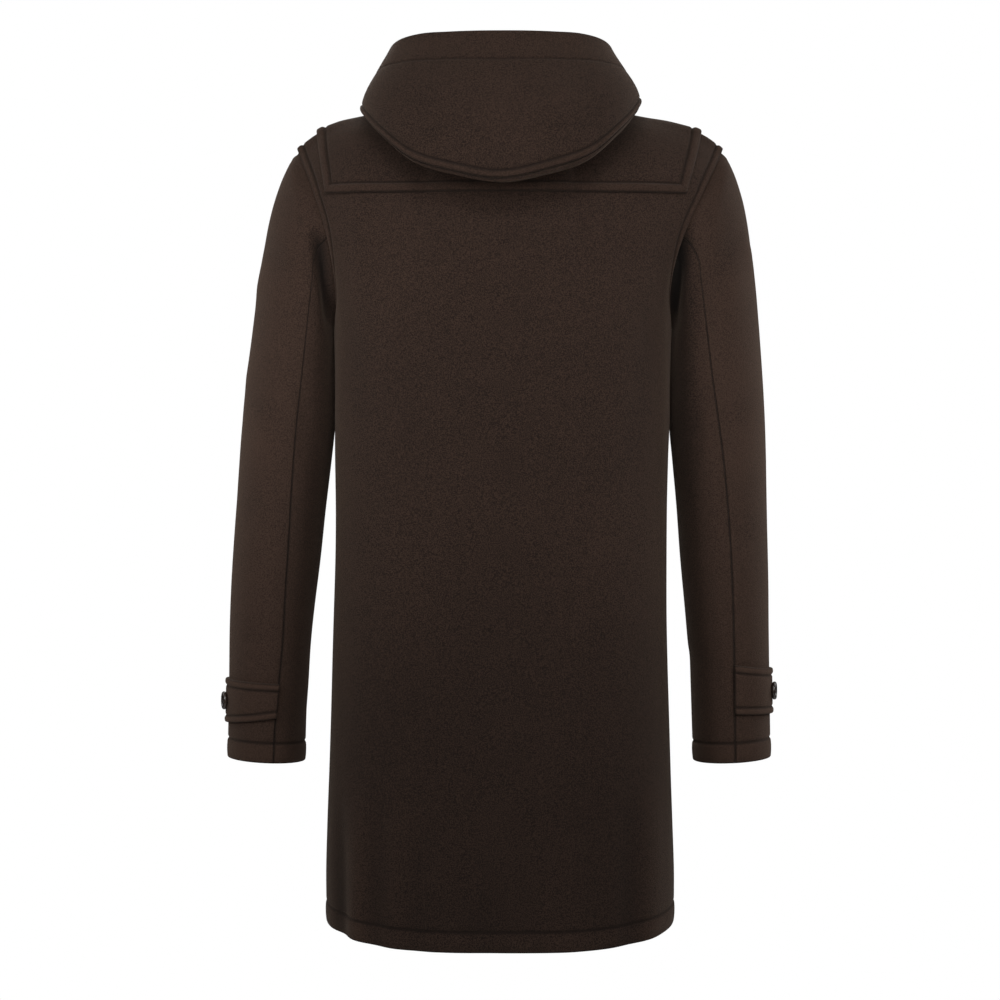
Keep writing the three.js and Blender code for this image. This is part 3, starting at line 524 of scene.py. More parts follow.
SLEEVE_FOLDS = (
    ("back", (203, -138, 0, 7), (197, -160, -9, 7), (191, -190, -10, 7),
     (187, -218, -8, 6), (185, -262, 0, 6)),
    ("back", (-202, -134, 0, 7), (-196, -160, -9, 7), (-191, -190, -9, 7),
     (-188, -218, -7, 6), (-186, -262, 0, 6)),
    ("back", (278, -120, 0, 14), (262, -152, -1.7, 12), (240, -176, -1.2, 12), (222, -186, 0, 12)),
    ("back", (282, -166, 0, 14), (262, -196, 1.4, 13), (238, -214, 0, 13)),
    ("back", (288, -300, 0, 16), (268, -330, -1.6, 13), (244, -346, -1.2, 13), (226, -352, 0, 12)),
    ("back", (290, -352, 0, 16), (266, -378, 1.3, 14), (240, -392, 0, 13)),
    ("back", (294, -420, 0, 16), (272, -438, -1.3, 14), (250, -446, 0, 13)),
    ("back", (222, -290, 0, 12), (214, -350, -1.6, 10), (212, -420, 0, 10)),
    ("back", (290, -560, 0, 14), (270, -580, -1, 14), (250, -588, 0, 13)),
    ("back", (-262, -128, 0, 14), (-250, -160, -1.9, 12), (-236, -186, -1.3, 12),
     (-222, -200, 0, 12)),
    ("back", (-272, -170, 0, 14), (-256, -206, 1.7, 13), (-238, -232, 0, 13)),
    ("back", (-284, -310, 0, 16), (-262, -338, -1.5, 13), (-238, -352, -1, 13),
     (-222, -356, 0, 12)),
    ("back", (-288, -372, 0, 16), (-262, -396, 1.2, 14), (-238, -406, 0, 13)),
    ("back", (-292, -450, 0, 16), (-268, -470, -1.2, 14), (-246, -478, 0, 13)),
    ("back", (-214, -290, 0, 12), (-210, -360, -1.6, 10), (-212, -430, 0, 10)),
    ("front", (272, -150, 0, 14), (246, -190, -1.8, 12), (224, -214, 0, 12)),
    ("front", (284, -318, 0, 14), (262, -344, -1.9, 12), (236, -358, -1.4, 12),
     (216, -362, 0, 12)),
    ("front", (286, -356, 0, 14), (262, -384, 1.6, 13), (232, -396, 0, 13)),
    ("front", (290, -410, 0, 14), (262, -428, -1.6, 12), (234, -434, 0, 12)),
    ("front", (-266, -156, 0, 14), (-244, -196, -1.8, 12), (-222, -222, 0, 12)),
    ("front", (-282, -330, 0, 14), (-260, -352, -1.9, 12), (-234, -364, -1.3, 12),
     (-214, -368, 0, 12)),
    ("front", (-286, -374, 0, 14), (-258, -398, 1.6, 13), (-230, -408, 0, 13)),
    ("front", (-290, -430, 0, 14), (-260, -446, -1.4, 12), (-234, -452, 0, 12)),
    ("left", (14, -172, 0, 14), (0, -200, 1.1, 14), (-22, -216, 0, 14)),
    ("left", (16, -256, 0, 20), (-2, -300, 1.4, 18), (-8, -350, 0, 18)),
    ("right", (22, -120, 0, 14), (12, -164, 2.2, 12), (4, -214, 0, 14)),
    ("right", (6, -110, 0, 12), (-6, -160, -1.2, 12), (-10, -210, 0, 12)),
)
HOOD_FOLDS = (
    ("back", (-92, 20, 0, 16), (-60, -12, 1.2, 16), (-20, -30, 0, 18)),
    ("back", (104, 4, 0, 15), (72, -34, -1.1, 14), (36, -56, 0, 15)),
    ("back", (-110, -14, 0, 14), (-84, -44, -1.2, 13), (-48, -66, 0, 14)),
    ("back", (10, 40, 0, 26), (4, 0, 1, 26), (0, -50, 0, 26)),
    ("left", (30, 20, 0, 12), (10, -4, -1.2, 12), (-20, -14, 0, 12)),
    ("right", (34, 16, 0, 12), (12, -6, -1.3, 12), (-18, -18, 0, 12)),
)
VIEW_AXES = {"back": (0, 1, 1), "front": (0, 1, -1), "left": (1, 0, 1), "right": (1, 0, -1)}


def creases(points, normals, folds):
    """Height of the soft folds, and of a slow unevenness of the cloth, at each point."""
    total = np.zeros(points.shape[:-1])
    for view, *path in folds:
        across, deep, sign = VIEW_AXES[view]
        place = points[..., (across, 2)]
        facing = ease(sign * normals[..., deep] / 0.45 + 0.1)
        best = np.full(total.shape, np.inf)
        height = np.zeros(total.shape)
        for a, b in zip(path, path[1:]):
            a, b = np.array(a, float), np.array(b, float)
            reach = b[:2] - a[:2]
            t = np.clip(((place - a[:2]) @ reach) / (reach @ reach), 0, 1)
            off = np.linalg.norm(place - a[:2] - t[..., None] * reach, axis=-1)
            amount = a[2] + (b[2] - a[2]) * t
            width = a[3] + (b[3] - a[3]) * t
            near = off < best
            best = np.where(near, off, best)
            height = np.where(near, amount * np.exp(-((off / width) ** 2)), height)
        total += height * facing
    x, y, z = np.moveaxis(points, -1, 0)
    drift = np.sin(x / 37 + z / 61 + 1.3) + np.sin(y / 29 - z / 47 + 0.4) + np.sin(x / 83 - z / 31)
    return total * coat_settings().fold_depth + 0.16 * drift


# Making pieces

def coat_settings():
    return bpy.context.scene.duffle_coat


def hang(piece, slot, *nodes):
    """Puts a piece in the scene: it rides on the coat and stands for its solid."""
    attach(piece, "root")
    if nodes:
        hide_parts(*nodes)
    return piece


def new_object(name, points, faces, material, marks=None, sharp=50):
    mesh = bpy.data.meshes.new(name)
    mesh.from_pydata(np.asarray(points) * MM, [], [list(map(int, f)) for f in faces])
    for mark, values in (marks or {}).items():
        layer = mesh.attributes.new(mark, "FLOAT", "POINT")
        layer.data.foreach_set("value", np.asarray(values, np.float32))
    mesh.shade_smooth()
    mesh.set_sharp_from_angle(angle=math.radians(sharp))
    mesh.materials.append(material)
    piece = bpy.data.objects.new(name, mesh)
    bpy.context.scene.collection.objects.link(piece)
    return piece


GROOVE_HALF_WIDTH = 1.7
# Painted light on fold ridges and painted shade in hollows per mm of fold height, and a painted
# highlight on puffed stitched bands
FOLD_PAINTED_SHADING, BAND_PAINTED_HIGHLIGHT = 0.1, 0.22


def sew(name, patches, material, stitches=(), lift=0, wall=WALL, folds=(), roll=1.3, puff=0.9,
        relief=None, painted_shading=None):
    """Joins patches into one cloth piece with two faces and a rim.

    Each stitch line is (sides, offset from them, mask of the points it reaches or None). Light
    is painted on folds and shade in their hollows; each piece can add painted light or shade.
    """
    settings = coat_settings()
    outer, inner, marks, faces = [], [], [], []
    keys, first = [], 0
    for patch in patches:
        shape = patch.points.shape[:2]
        height = creases(patch.points, patch.normals, folds)
        # Painted light on the folds and painted shade in their hollows, plus the piece's own
        # painted light or shade
        light = height * FOLD_PAINTED_SHADING + (painted_shading(patch) if painted_shading else 0)
        height = height + (lift(patch.points) if callable(lift) else lift)
        surface = height.copy()
        stitch, run, sewn = np.full(shape, FAR), np.zeros(shape), np.zeros(shape)
        for sides, offset, mask in stitches:
            sides = [side for side in sides if side in patch.real]
            if not sides:
                continue
            edge = patch.edge(sides)
            reach = mask(patch.points) if mask else np.ones(shape)
            groove = np.exp(-(((edge - offset) / GROOVE_HALF_WIDTH) ** 2))
            surface -= settings.stitch_depth / MM * groove * reach
            band = np.clip(edge / offset, 0, 1)
            puffed = np.sin(math.pi * band) ** 0.7 * (edge < offset) * reach
            surface += puff * puffed
            # Painted highlight along the puffed band inside the stitch line
            light = light + BAND_PAINTED_HIGHLIGHT * puffed
            nearer = np.abs(edge - offset) < np.abs(stitch)
            stitch = np.where(nearer, edge - offset, stitch)
            run = np.where(nearer, patch.run(sides), run)
            sewn = np.where(nearer, reach, sewn)
        edge = patch.edge(patch.real)
        inside = np.clip(1 - edge / roll, 0, 1)
        surface -= roll * (1 - np.sqrt(np.maximum(0, 1 - inside**2)))
        if relief:
            surface += relief(patch)
        outer.append((patch.points + patch.normals * surface[..., None]).reshape(-1, 3))
        inner.append((patch.points + patch.normals * (height - wall)[..., None]).reshape(-1, 3))
        hem = patch.edge([side for side in patch.real if side not in patch.seams])
        seam = patch.edge(patch.seams)
        marks.append(np.stack([stitch, run, sewn, hem, seam, light], axis=-1).reshape(-1, 6))
        keys.append(np.round(patch.points.reshape(-1, 3), 2))
        index = first + np.arange(shape[0] * shape[1]).reshape(shape)
        corners = index[:-1, :-1], index[:-1, 1:], index[1:, 1:], index[1:, :-1]
        faces.append(np.stack(corners, axis=-1).reshape(-1, 4))
        first += shape[0] * shape[1]

    keys = np.concatenate(keys)
    _, place = np.unique(keys, axis=0, return_inverse=True)
    place = place.reshape(-1)
    count = place.max() + 1
    uses = np.bincount(place, minlength=count)[:, None]

    def merged(values):
        values = np.concatenate(values)
        sums = [np.bincount(place, values[:, k], count) for k in range(values.shape[1])]
        return np.stack(sums, axis=1) / uses

    outer, inner, marks = merged(outer), merged(inner), merged(marks)
    faces = place[np.concatenate(faces)]
    # The rim closes the edges that only one face uses
    ends = np.concatenate([faces[:, [k, (k + 1) % 4]] for k in range(4)])
    codes = ends[:, 0] * count + ends[:, 1]
    rim = ends[~np.isin(codes, ends[:, 1] * count + ends[:, 0])]
    rim_faces = np.stack([rim[:, 1], rim[:, 0], rim[:, 0] + count, rim[:, 1] + count], axis=1)
    every = np.concatenate([faces, faces[:, ::-1] + count, rim_faces])
    both = np.concatenate([marks, marks * (1, 1, 0, 1, 1, 0)])
    names = ("stitch", "run", "sewn", "edge", "seam", "painted_shading")
    return new_object(
        name, np.concatenate([outer, inner]), every, material,
        {mark: both[:, k] for k, mark in enumerate(names)})


# Finishes

class Signal:
    """A shader socket that can be used in sums."""

    def __init__(self, finish, socket):
        self.finish, self.socket = finish, socket

    def maths(self, operation, *values):
        inputs = dict(enumerate(values))
        return self.finish.node("ShaderNodeMath", {"operation": operation}, inputs)

    def __add__(self, other):
        return self.maths("ADD", self, other)

    def __sub__(self, other):
        return self.maths("SUBTRACT", self, other)

    def __rsub__(self, other):
        return self.maths("SUBTRACT", other, self)

    def __mul__(self, other):
        return self.maths("MULTIPLY", self, other)

    def __truediv__(self, other):
        return self.maths("DIVIDE", self, other)

    def __pow__(self, other):
        return self.maths("POWER", self, other)

    def __abs__(self):
        return self.maths("ABSOLUTE", self)

    def fraction(self):
        return self.maths("FRACT", self)

    def sine(self):
        return self.maths("SINE", self)

    def clamped(self):
        return self.finish.node("ShaderNodeClamp", {}, {"Value": self})

    __radd__ = __add__


class Nodes:
    """Nodes that are added one by one and lead to one shader."""

    def __init__(self, owner, shader):
        owner.use_nodes = True
        self.tree = owner.node_tree
        self.shader = self.tree.nodes[shader]

    def node(self, kind, settings, inputs, output=0):
        node = self.tree.nodes.new(kind)
        for key, value in settings.items():
            setattr(node, key, value)
        for key, value in inputs.items():
            if isinstance(value, Signal):
                self.tree.links.new(value.socket, node.inputs[key])
            else:
                node.inputs[key].default_value = value
        return Signal(self, node.outputs[output])

    def wire(self, **sockets):
        """Links signals to the shader by name, with _ for a space, and sets plain values."""
        for name, value in sockets.items():
            socket = self.shader.inputs[name.replace("_", " ")]
            if isinstance(value, Signal):
                self.tree.links.new(value.socket, socket)
            else:
                socket.default_value = value


class Finish(Nodes):
    """The nodes of one material."""

    def __init__(self, name, colour, roughness):
        self.material = bpy.data.materials.new(name)
        super().__init__(self.material, "Principled BSDF")
        self.material.diffuse_color = (*colour, 1)
        self.wire(Roughness=roughness)

    def finished(self, **sockets):
        self.wire(**sockets)
        return self.material

    def place(self):
        return self.node("ShaderNodeTexCoord", {}, {}, "Object")

    def mark(self, name):
        return self.node("ShaderNodeAttribute", {"attribute_name": name}, {}, "Fac")

    def noise(self, scale, detail=2.0, roughness=0.5, stretch=None):
        place = self.place()
        if stretch:
            operation = {"operation": "MULTIPLY"}
            place = self.node("ShaderNodeVectorMath", operation, {0: place, 1: stretch})
        inputs = {"Vector": place, "Scale": scale, "Detail": detail, "Roughness": roughness}
        return self.node("ShaderNodeTexNoise", {}, inputs, "Fac")

    def blend(self, share, first, second):
        inputs = {"Factor": share, 6: first, 7: second}
        return self.node("ShaderNodeMix", {"data_type": "RGBA"}, inputs, 2)

    def bump(self, height, strength, distance):
        inputs = {"Height": height, "Strength": strength, "Distance": distance}
        return self.node("ShaderNodeBump", {}, inputs)


def tone(colour, factor):
    """The colour made lighter or darker, with its alpha."""
    return (*(min(1, channel * factor) for channel in colour), 1)


def stitches_of(finish, pitch):
    """1 on the thread of the machine stitches, and 0 beside it and between them."""
    away = abs(finish.mark("stitch"))
    across = (1 - away / 0.55).clamped()
    beat = abs((finish.mark("run") / pitch).fraction() - 0.5) * 2
    thread = (1 - beat**6).clamped() * across
    return thread * finish.mark("sewn")


@lru_cache
def wool():
    """Felted cloth: grain of two sizes, painted light and shade on folds, painted shadow at rims
    and in grooves, dark seams.
    """
    colour = tuple(coat_settings().wool_colour)
    finish = Finish("wool", colour, 0.93)
    patches, clumps = finish.noise(26, 3), finish.noise(860, 2, 0.55)
    fibres = finish.noise(1500, 2, 0.6)
    shade = ((patches - 0.5) * 0.3 + (clumps - 0.5) * 5 + (fibres - 0.5) * 3.4 + 0.52).clamped()
    # Painted light where this mark is above 0 and painted shade where it is below 0
    light = finish.mark("painted_shading")
    # Painted shadow along the free edges of each piece
    rim = (1 - finish.mark("edge") / 1.9).clamped() ** 0.7 * 0.75
    # Painted shade in the stitch grooves
    groove = (1 - abs(finish.mark("stitch")) / 2.4).clamped() ** 0.8 * finish.mark("sewn") * 0.85
    seam = (1 - finish.mark("seam") / 2).clamped() ** 0.7 * 0.85
    thread = stitches_of(finish, 3.3)
    colours = finish.blend(shade, tone(colour, 0.4), tone(colour, 1.75))
    # Blends in the painted light and shade, the painted shadow at rims and in grooves, dark seams
    # and lighter thread
    for share, factor in ((light.clamped(), 2.4), ((0 - light).clamped(), 0.1), (rim, 0.2),
                          (groove, 0.25), (seam, 0.12), (thread * 0.5, 1.1)):
        colours = finish.blend(share, colours, tone(colour, factor))
    height = fibres * 0.5 + clumps * 0.9 + finish.noise(1900, 2) * 0.25 + thread * 0.9
    return finish.finished(
        Base_Color=colours,
        Normal=finish.bump(height, 0.5, 0.0011),
        Sheen_Weight=0.18,
        Sheen_Roughness=0.5,
        Sheen_Tint=(0.5, 0.36, 0.27, 1),
        Specular_IOR_Level=0.18,
    )


@lru_cache
def horn():
    colour = tuple(coat_settings().horn_colour)
    finish = Finish("horn", colour, 0.3)
    streaks = finish.noise(90, 4, 0.6, (0.25, 1, 1))
    clouds = finish.noise(45, 2)
    shade = (streaks * 1.6 + clouds * 0.6 - 0.65).clamped()
    return finish.finished(
        Base_Color=finish.blend(shade, tone(colour, 0.35), tone(colour, 2.2)),
        Roughness=0.24 + streaks * 0.18,
        Normal=finish.bump(streaks, 0.12, 0.0006),
        Coat_Weight=0.25,
        Coat_Roughness=0.12,
    )


@lru_cache
def cord():
    colour = tuple(coat_settings().cord_colour)
    finish = Finish("cord", colour, 0.72)
    strands = ((finish.mark("run") / 3.4 + finish.mark("turn") * 3) * (2 * math.pi)).sine()
    fibres = finish.noise(1600, 2)
    shade = (strands * 0.35 + fibres * 0.4 + 0.3).clamped()
    return finish.finished(
        Base_Color=finish.blend(shade, tone(colour, 0.4), tone(colour, 1.8)),
        Normal=finish.bump(strands * 0.6 + fibres * 0.3, 0.6, 0.0006),
        Sheen_Weight=0.15,
    )


@lru_cache
def leather():
    colour = tuple(coat_settings().leather_colour)
    finish = Finish("leather", colour, 0.5)
    cells = finish.node("ShaderNodeTexVoronoi", {}, {"Vector": finish.place(), "Scale": 1100}, 0)
    clouds = finish.noise(120, 4, 0.6)
    worn = (1 - finish.mark("edge") / 1.6).clamped() * 0.5
    colours = finish.blend(clouds, tone(colour, 0.6), tone(colour, 1.5))
    colours = finish.blend(worn, colours, tone(colour, 2))
    thread = stitches_of(finish, 2.6)
    colours = finish.blend(thread * 0.9, colours, tone(colour, 2.6))
    return finish.finished(
        Base_Color=colours,
        Roughness=0.42 + clouds * 0.2,
        Normal=finish.bump(cells * 0.6 + clouds * 0.3 + thread * 0.8, 0.35, 0.0006),
    )


# Body pieces

def above_chest(points):
    """1 where a side edge is the armhole, 0 where it is the side seam."""
    return ease((points[..., 2] - CHEST_LEVEL - 2) / 14)


ARMHOLE_OFFSET, HEM_OFFSET, FRONT_OFFSET, YOKE_OFFSET = 8.5, 22, 10, 11
BODY_STITCHES = ((("below",), HEM_OFFSET, None),)
# Painted light on the sleeves and the cuff tabs, and painted shade towards the side seams
SLEEVE_PAINTED_LIGHT, TAB_PAINTED_LIGHT, SIDE_PAINTED_SHADE = 0.22, 0.34, -0.85
# Painted shade on each sleeve beside the body, much stronger on the right
INNER_SLEEVE_PAINTED_SHADE = {1: 0.15, -1: 0.75}


def painted_side_shade(patch):
    """Painted shade that darkens towards the side seams below the armholes, wider near the hem."""
    level = patch.points[..., 2]
    below = ease((CHEST_LEVEL + 40 - level) / 70)
    width = 36 + 18 * ease((-450 - level) / 250)
    return SIDE_PAINTED_SHADE * np.exp(-((patch.edge(patch.seams) / width) ** 2)) * below


def make_back():
    grid = body_surfaces()["back"].cut((0, TOP_ROW), (0, len(BACK_TOPS) - 1))
    side = stitched_edge(ARMHOLE_OFFSET)
    steps = side, side, stitched_edge(HEM_OFFSET), PLAIN_EDGE
    patch = Patch(grid, steps, tuple(SIDES), ("left", "right"))
    lines = ((("left", "right"), ARMHOLE_OFFSET, above_chest),) + BODY_STITCHES
    return sew("cloth_back", [patch], wool(), lines, folds=FOLDS, painted_shading=painted_side_shade)


def make_front(side):
    middle = len(FRONT_LINES) - 1
    lap = [line[0] for line in FRONT_LINES].index(LAP_REACH)
    columns = (middle - lap, 2 * middle) if side > 0 else (0, middle + lap)
    grid = body_surfaces()["front"].cut((0, TOP_ROW), columns)
    arm, closing = stitched_edge(ARMHOLE_OFFSET), stitched_edge(FRONT_OFFSET)
    across = (closing, arm) if side > 0 else (arm, closing)
    arm_side, lap_side = ("right", "left") if side > 0 else ("left", "right")
    patch = Patch(grid, (*across, stitched_edge(HEM_OFFSET), PLAIN_EDGE),
                  tuple(SIDES), (arm_side,))
    lines = (
        ((arm_side,), ARMHOLE_OFFSET, above_chest),
        ((lap_side,), FRONT_OFFSET, None),
    ) + BODY_STITCHES

    def under_lap(points):
        return -LAP_DROP * ease((points[..., 0] + 56) / 5) * (side < 0)

    return sew(f"cloth_front_{WORDS[side]}", [patch], wool(), lines, under_lap, folds=FOLDS,
               painted_shading=painted_side_shade)


def make_yoke():
    """Seven patches that share the lines at the neck and along the shoulders."""
    edge, rows = stitched_edge(YOKE_OFFSET), 17
    neck, lap_ends = NECK_HALF_WIDTH, (-56, -LAP_REACH)
    patches, ridges = [], {}
    for name, tops, spans in (
        ("back", BACK_TOPS, ((YOKE_REACH, neck), (neck, -neck), (-neck, -YOKE_REACH))),
        ("front", FRONT_TOPS, (
            (-YOKE_REACH, -neck), (-neck, lap_ends[0]), (lap_ends[1], neck), (neck, YOKE_REACH))),
    ):
        for first, last in spans:
            columns = tops.index(first), tops.index(last)
            grid = body_surfaces()[name].cut((YOKE_ROW, TOP_ROW), columns)
            real = ["below"]
            across = [BARE_EDGE, BARE_EDGE]
            for k, end in enumerate((first, last)):
                if abs(end) == YOKE_REACH or end in lap_ends:
                    real.append(("left", "right")[k])
                    across[k] = edge
            shoulder = abs(first) >= neck and abs(last) >= neck and first * last > 0
            if not shoulder:
                real.append("above")
            grid = spread(grid, *across, 5, 24 if shoulder else None)
            if shoulder:
                key = first > 0
                if name == "back":
                    ridges[key] = grid[-1, ::-1, :6].copy()
                else:
                    grid[-1, :, :3] = ridges[key][:, :3]
                    grid[-1, :, 3:6] = unit(grid[-1, :, 3:6] + ridges[key][:, 3:6])
            patches.append(YokePatch(grid, edge, rows, real))
    for back, front in ((patches[0], patches[6]), (patches[2], patches[3])):
        back.normals[-1] = front.normals[-1, ::-1]
    lines = ((("left", "right", "below"), YOKE_OFFSET, None),)
    return sew("cloth_yoke", patches, wool(), lines, WALL + LAY_GAP, roll=2.4, puff=1.5)


class YokePatch(Patch):
    """A patch whose columns are spaced already, so that it meets its neighbours."""

    def __init__(self, grid, below, rows, real):
        self.fill(grid, (below, PLAIN_EDGE), real, (), 5, rows)


# Sleeves, cuff tabs and buttons

CUFF_OFFSET, TAB_OFFSET = 22, 8
CUFF_ROW, SLEEVE_TOP_ROW = 0, len(SLEEVE_RINGS) + 4


SLEEVE_LAP = 14
ALLOWANCE_REACHES = (2.5, 5, 7.5)
SLEEVE_TOP_STEPS = (0, 3, 6, 7.5, 8.5, 10, 12, 15, 19)


@lru_cache
def armhole_edge(side):
    """Points of the body's armhole edge, each with its normal and its way into the body."""
    parts = []
    for name, is_last in (("back", side < 0), ("front", side > 0)):
        surface = body_surfaces()[name]
        column = surface.across[-2:-1] if is_last else surface.across[1:2]
        up = np.linspace(surface.up[CHEST_ROW + 1], surface.up[-2], 160)
        points = surface.at(up, column)[:, 0]
        beside = surface.at(up, column + (-2 if is_last else 2))[:, 0]
        normals = surface.normals(up, column)[:, 0]
        parts.append(np.stack([points, normals, unit(beside - points)], axis=1))
    return np.concatenate(parts)


def lap_under_body(grid, side):
    """Leads the top of a sleeve's grid under the armhole edge, with a seam allowance.

    The lap fades out below the top and where the two cloths face different ways.
    """
    top, own = grid[-1, :, :3].copy(), grid[-1, :, 3:6].copy()
    edge = armhole_edge(side)
    near = np.argmin(np.linalg.norm(top[:, None] - edge[None, :, 0], axis=2), axis=1)
    point, normal, inward = np.moveaxis(edge[near], 1, 0)
    under = point - (WALL + 0.2) * normal
    steps = np.linalg.norm(np.diff(grid[..., :3], axis=0), axis=2)
    from_top = np.concatenate([np.cumsum(steps[::-1], axis=0)[::-1], np.zeros((1, len(top)))])
    share = (1 - ease(from_top / SLEEVE_LAP))[..., None]
    grid[..., :3] += (under - top) * share
    level = ease(((own * normal).sum(axis=1) - 0.1) / 0.5)[:, None]
    grid[..., 3:6] = unit(grid[..., 3:6] * (1 - share * level) + normal * share * level)
    allowance = [
        np.concatenate([under + inward * (0.3 + (reach - 0.3) * level), grid[-1, :, 3:6]], axis=1)
        for reach in ALLOWANCE_REACHES]
    return np.concatenate([grid, allowance])


def sleeve_painted_shading(side):
    """Painted light all over the sleeve, and painted shade beside the body, most on the right."""
    def painted_shading(patch):
        across, level = np.abs(patch.points[..., 0]), patch.points[..., 2]
        inner = ease((222 - across) / 34) * ease((CHEST_LEVEL + 110 - level) / 60)
        return SLEEVE_PAINTED_LIGHT - INNER_SLEEVE_PAINTED_SHADE[side] * inner
    return painted_shading


def make_sleeve(side, part):
    spokes = (-BACK_SEAM, BACK_SEAM) if part == "top" else (BACK_SEAM, RING_POINTS - BACK_SEAM)
    grid = sleeve_surface(side).cut((CUFF_ROW, SLEEVE_TOP_ROW), spoke_columns(*spokes, side))
    grid = lap_under_body(grid, side)
    steps = PLAIN_EDGE, PLAIN_EDGE, stitched_edge(CUFF_OFFSET), SLEEVE_TOP_STEPS
    patch = Patch(grid, steps, ("left", "right", "below"), ("left", "right"), 5)
    return sew(f"cloth_sleeve_{part}_{WORDS[side]}", [patch], wool(),
               ((("below",), CUFF_OFFSET, None),), folds=SLEEVE_FOLDS, painted_shading=sleeve_painted_shading(side))


# The tab's round end: its length, the share of the half height at its tip, and its fullness
TAB_END, TAB_TIP, TAB_FULLNESS = 13, 0.45, 2.2


def make_tab(side):
    surface = sleeve_surface(side)
    first, last = spoke_columns(-1, BACK_SEAM, side)
    left, right = surface.across[first + 1], surface.across[last + 1]
    low, high = surface.up[2], surface.up[4]
    across = np.linspace(left, right, 60)
    from_tip = across - left if side > 0 else right - across
    full = np.sqrt(1 - np.clip(1 - from_tip / TAB_END, 0, 1) ** TAB_FULLNESS)
    half = (high - low) / 2 * (TAB_TIP + (1 - TAB_TIP) * full)
    up = (low + high) / 2 + np.linspace(-1, 1, 30)[:, None] * half
    columns = ((rows, across[k:k + 1]) for k, rows in enumerate(up.T))
    grid = np.concatenate([
        np.concatenate([surface.at(*column), surface.normals(*column)], axis=2)
        for column in columns], axis=1)
    edge = stitched_edge(TAB_OFFSET)
    steps = (edge, PLAIN_EDGE, edge, edge) if side > 0 else (PLAIN_EDGE, edge, edge, edge)
    real = tuple(SIDES)
    free = ("left" if side > 0 else "right", "below", "above")
    patch = Patch(grid, steps, real, real[1:2] if side > 0 else real[:1], 4)
    # The whole tab gets painted light
    return sew(f"cloth_tab_{WORDS[side]}", [patch], wool(), ((free, TAB_OFFSET, None),),
               WALL + LAY_GAP, painted_shading=lambda patch: TAB_PAINTED_LIGHT)


def turned_grid(profile, sides, base, axis, first):
    """Rings of points turned about an axis, with each point's angle."""
    axis, first = unit(np.array(axis, float)), np.array(first, float)
    first = unit(first - axis * (first @ axis))
    second = np.cross(axis, first)
    angles = np.arange(sides) * 2 * math.pi / sides
    rings = [np.array(base) + axis * height + radius * (
        np.cos(angles)[:, None] * first + np.sin(angles)[:, None] * second)
        for radius, height in profile]
    return np.array(rings), angles


def closed_rings(rings):
    """Faces between rings of a body whose first and last rings are closed by a face."""
    count, sides = rings.shape[:2]
    index = np.arange(count * sides).reshape(count, sides)
    after = np.roll(index, -1, axis=1)
    quads = np.stack([index[:-1], after[:-1], after[1:], index[1:]], axis=-1).reshape(-1, 4)
    return [*quads.tolist(), index[0, ::-1].tolist(), index[-1].tolist()]


# Outline of a button from the back round its rim to the sunk face: radius and height
BUTTON_EDGE = (
    (8, 0), (8.9, 0.2), (9.6, 0.8), (10, 1.6), (9.95, 2.6), (9.6, 3.4), (9.1, 3.9),
    (8.5, 4.15), (7.9, 4.15), (7.2, 3.95), (6.5, 3.5), (5.9, 3.05), (5.4, 2.85),
)
BUTTON_LIFT, BUTTON_FACE = 3.9, 2.8
BUTTON_HOLE, BUTTON_HOLE_DEPTH, BUTTON_HOLES_AT = 1.1, 1.3, 2.5
# The thread through two holes: share of the way between them, and height
BUTTON_THREAD = ((-1, 1.7), (-1, 2.6), (-0.7, 3.1), (0, 3.3), (0.7, 3.1), (1, 2.6), (1, 1.7))


def make_button(side):
    surface = sleeve_surface(side)
    first, last = spoke_columns(1, 2, side)
    across = surface.across[[first + 1, last + 1]].mean(keepdims=True)
    up = surface.up[3:4]
    out = surface.normals(up, across)[0, 0]
    base = surface.at(up, across)[0, 0] + out * BUTTON_LIFT
    profile = (*BUTTON_EDGE, *((radius, BUTTON_FACE) for radius in np.arange(5, 0.2, -0.3)))
    rings, angles = turned_grid(profile, 72, base, out, (0, 0, 1))
    for k, (radius, _) in enumerate(profile):
        for turn in range(4):
            centre = math.pi / 4 + turn * math.pi / 2
            away = np.hypot(radius * np.cos(angles) - BUTTON_HOLES_AT * math.cos(centre),
                            radius * np.sin(angles) - BUTTON_HOLES_AT * math.sin(centre))
            depth = BUTTON_HOLE_DEPTH * ease((BUTTON_HOLE + 0.3 - away) / 0.5)
            rings[k] -= out * depth[:, None]
    name = f"button_{WORDS[side]}"
    button = new_object(name, rings.reshape(-1, 3), closed_rings(rings), horn())
    up_axis = unit(np.array([0, 0, 1.0]) - out * out[2])
    other = np.cross(out, up_axis)
    at = BUTTON_HOLES_AT * math.cos(math.pi / 4)
    threads = [
        tube([base + other * at * tilt + up_axis * at * share + out * height
              for share, height in BUTTON_THREAD], 0.5, 8)
        for tilt in (-1, 1)]
    return button, join_tubes(f"button_thread_{WORDS[side]}", threads, cord())


# Hood

CROWN_OFFSET, RIM_OFFSET, HOOD_END_OFFSET = 8, 37, 10
LAST_HOOD_ROW = 13


def faint(points):
    """Mask of a stitch line that shows less than the others."""
    return np.full(points.shape[:-1], 0.6)


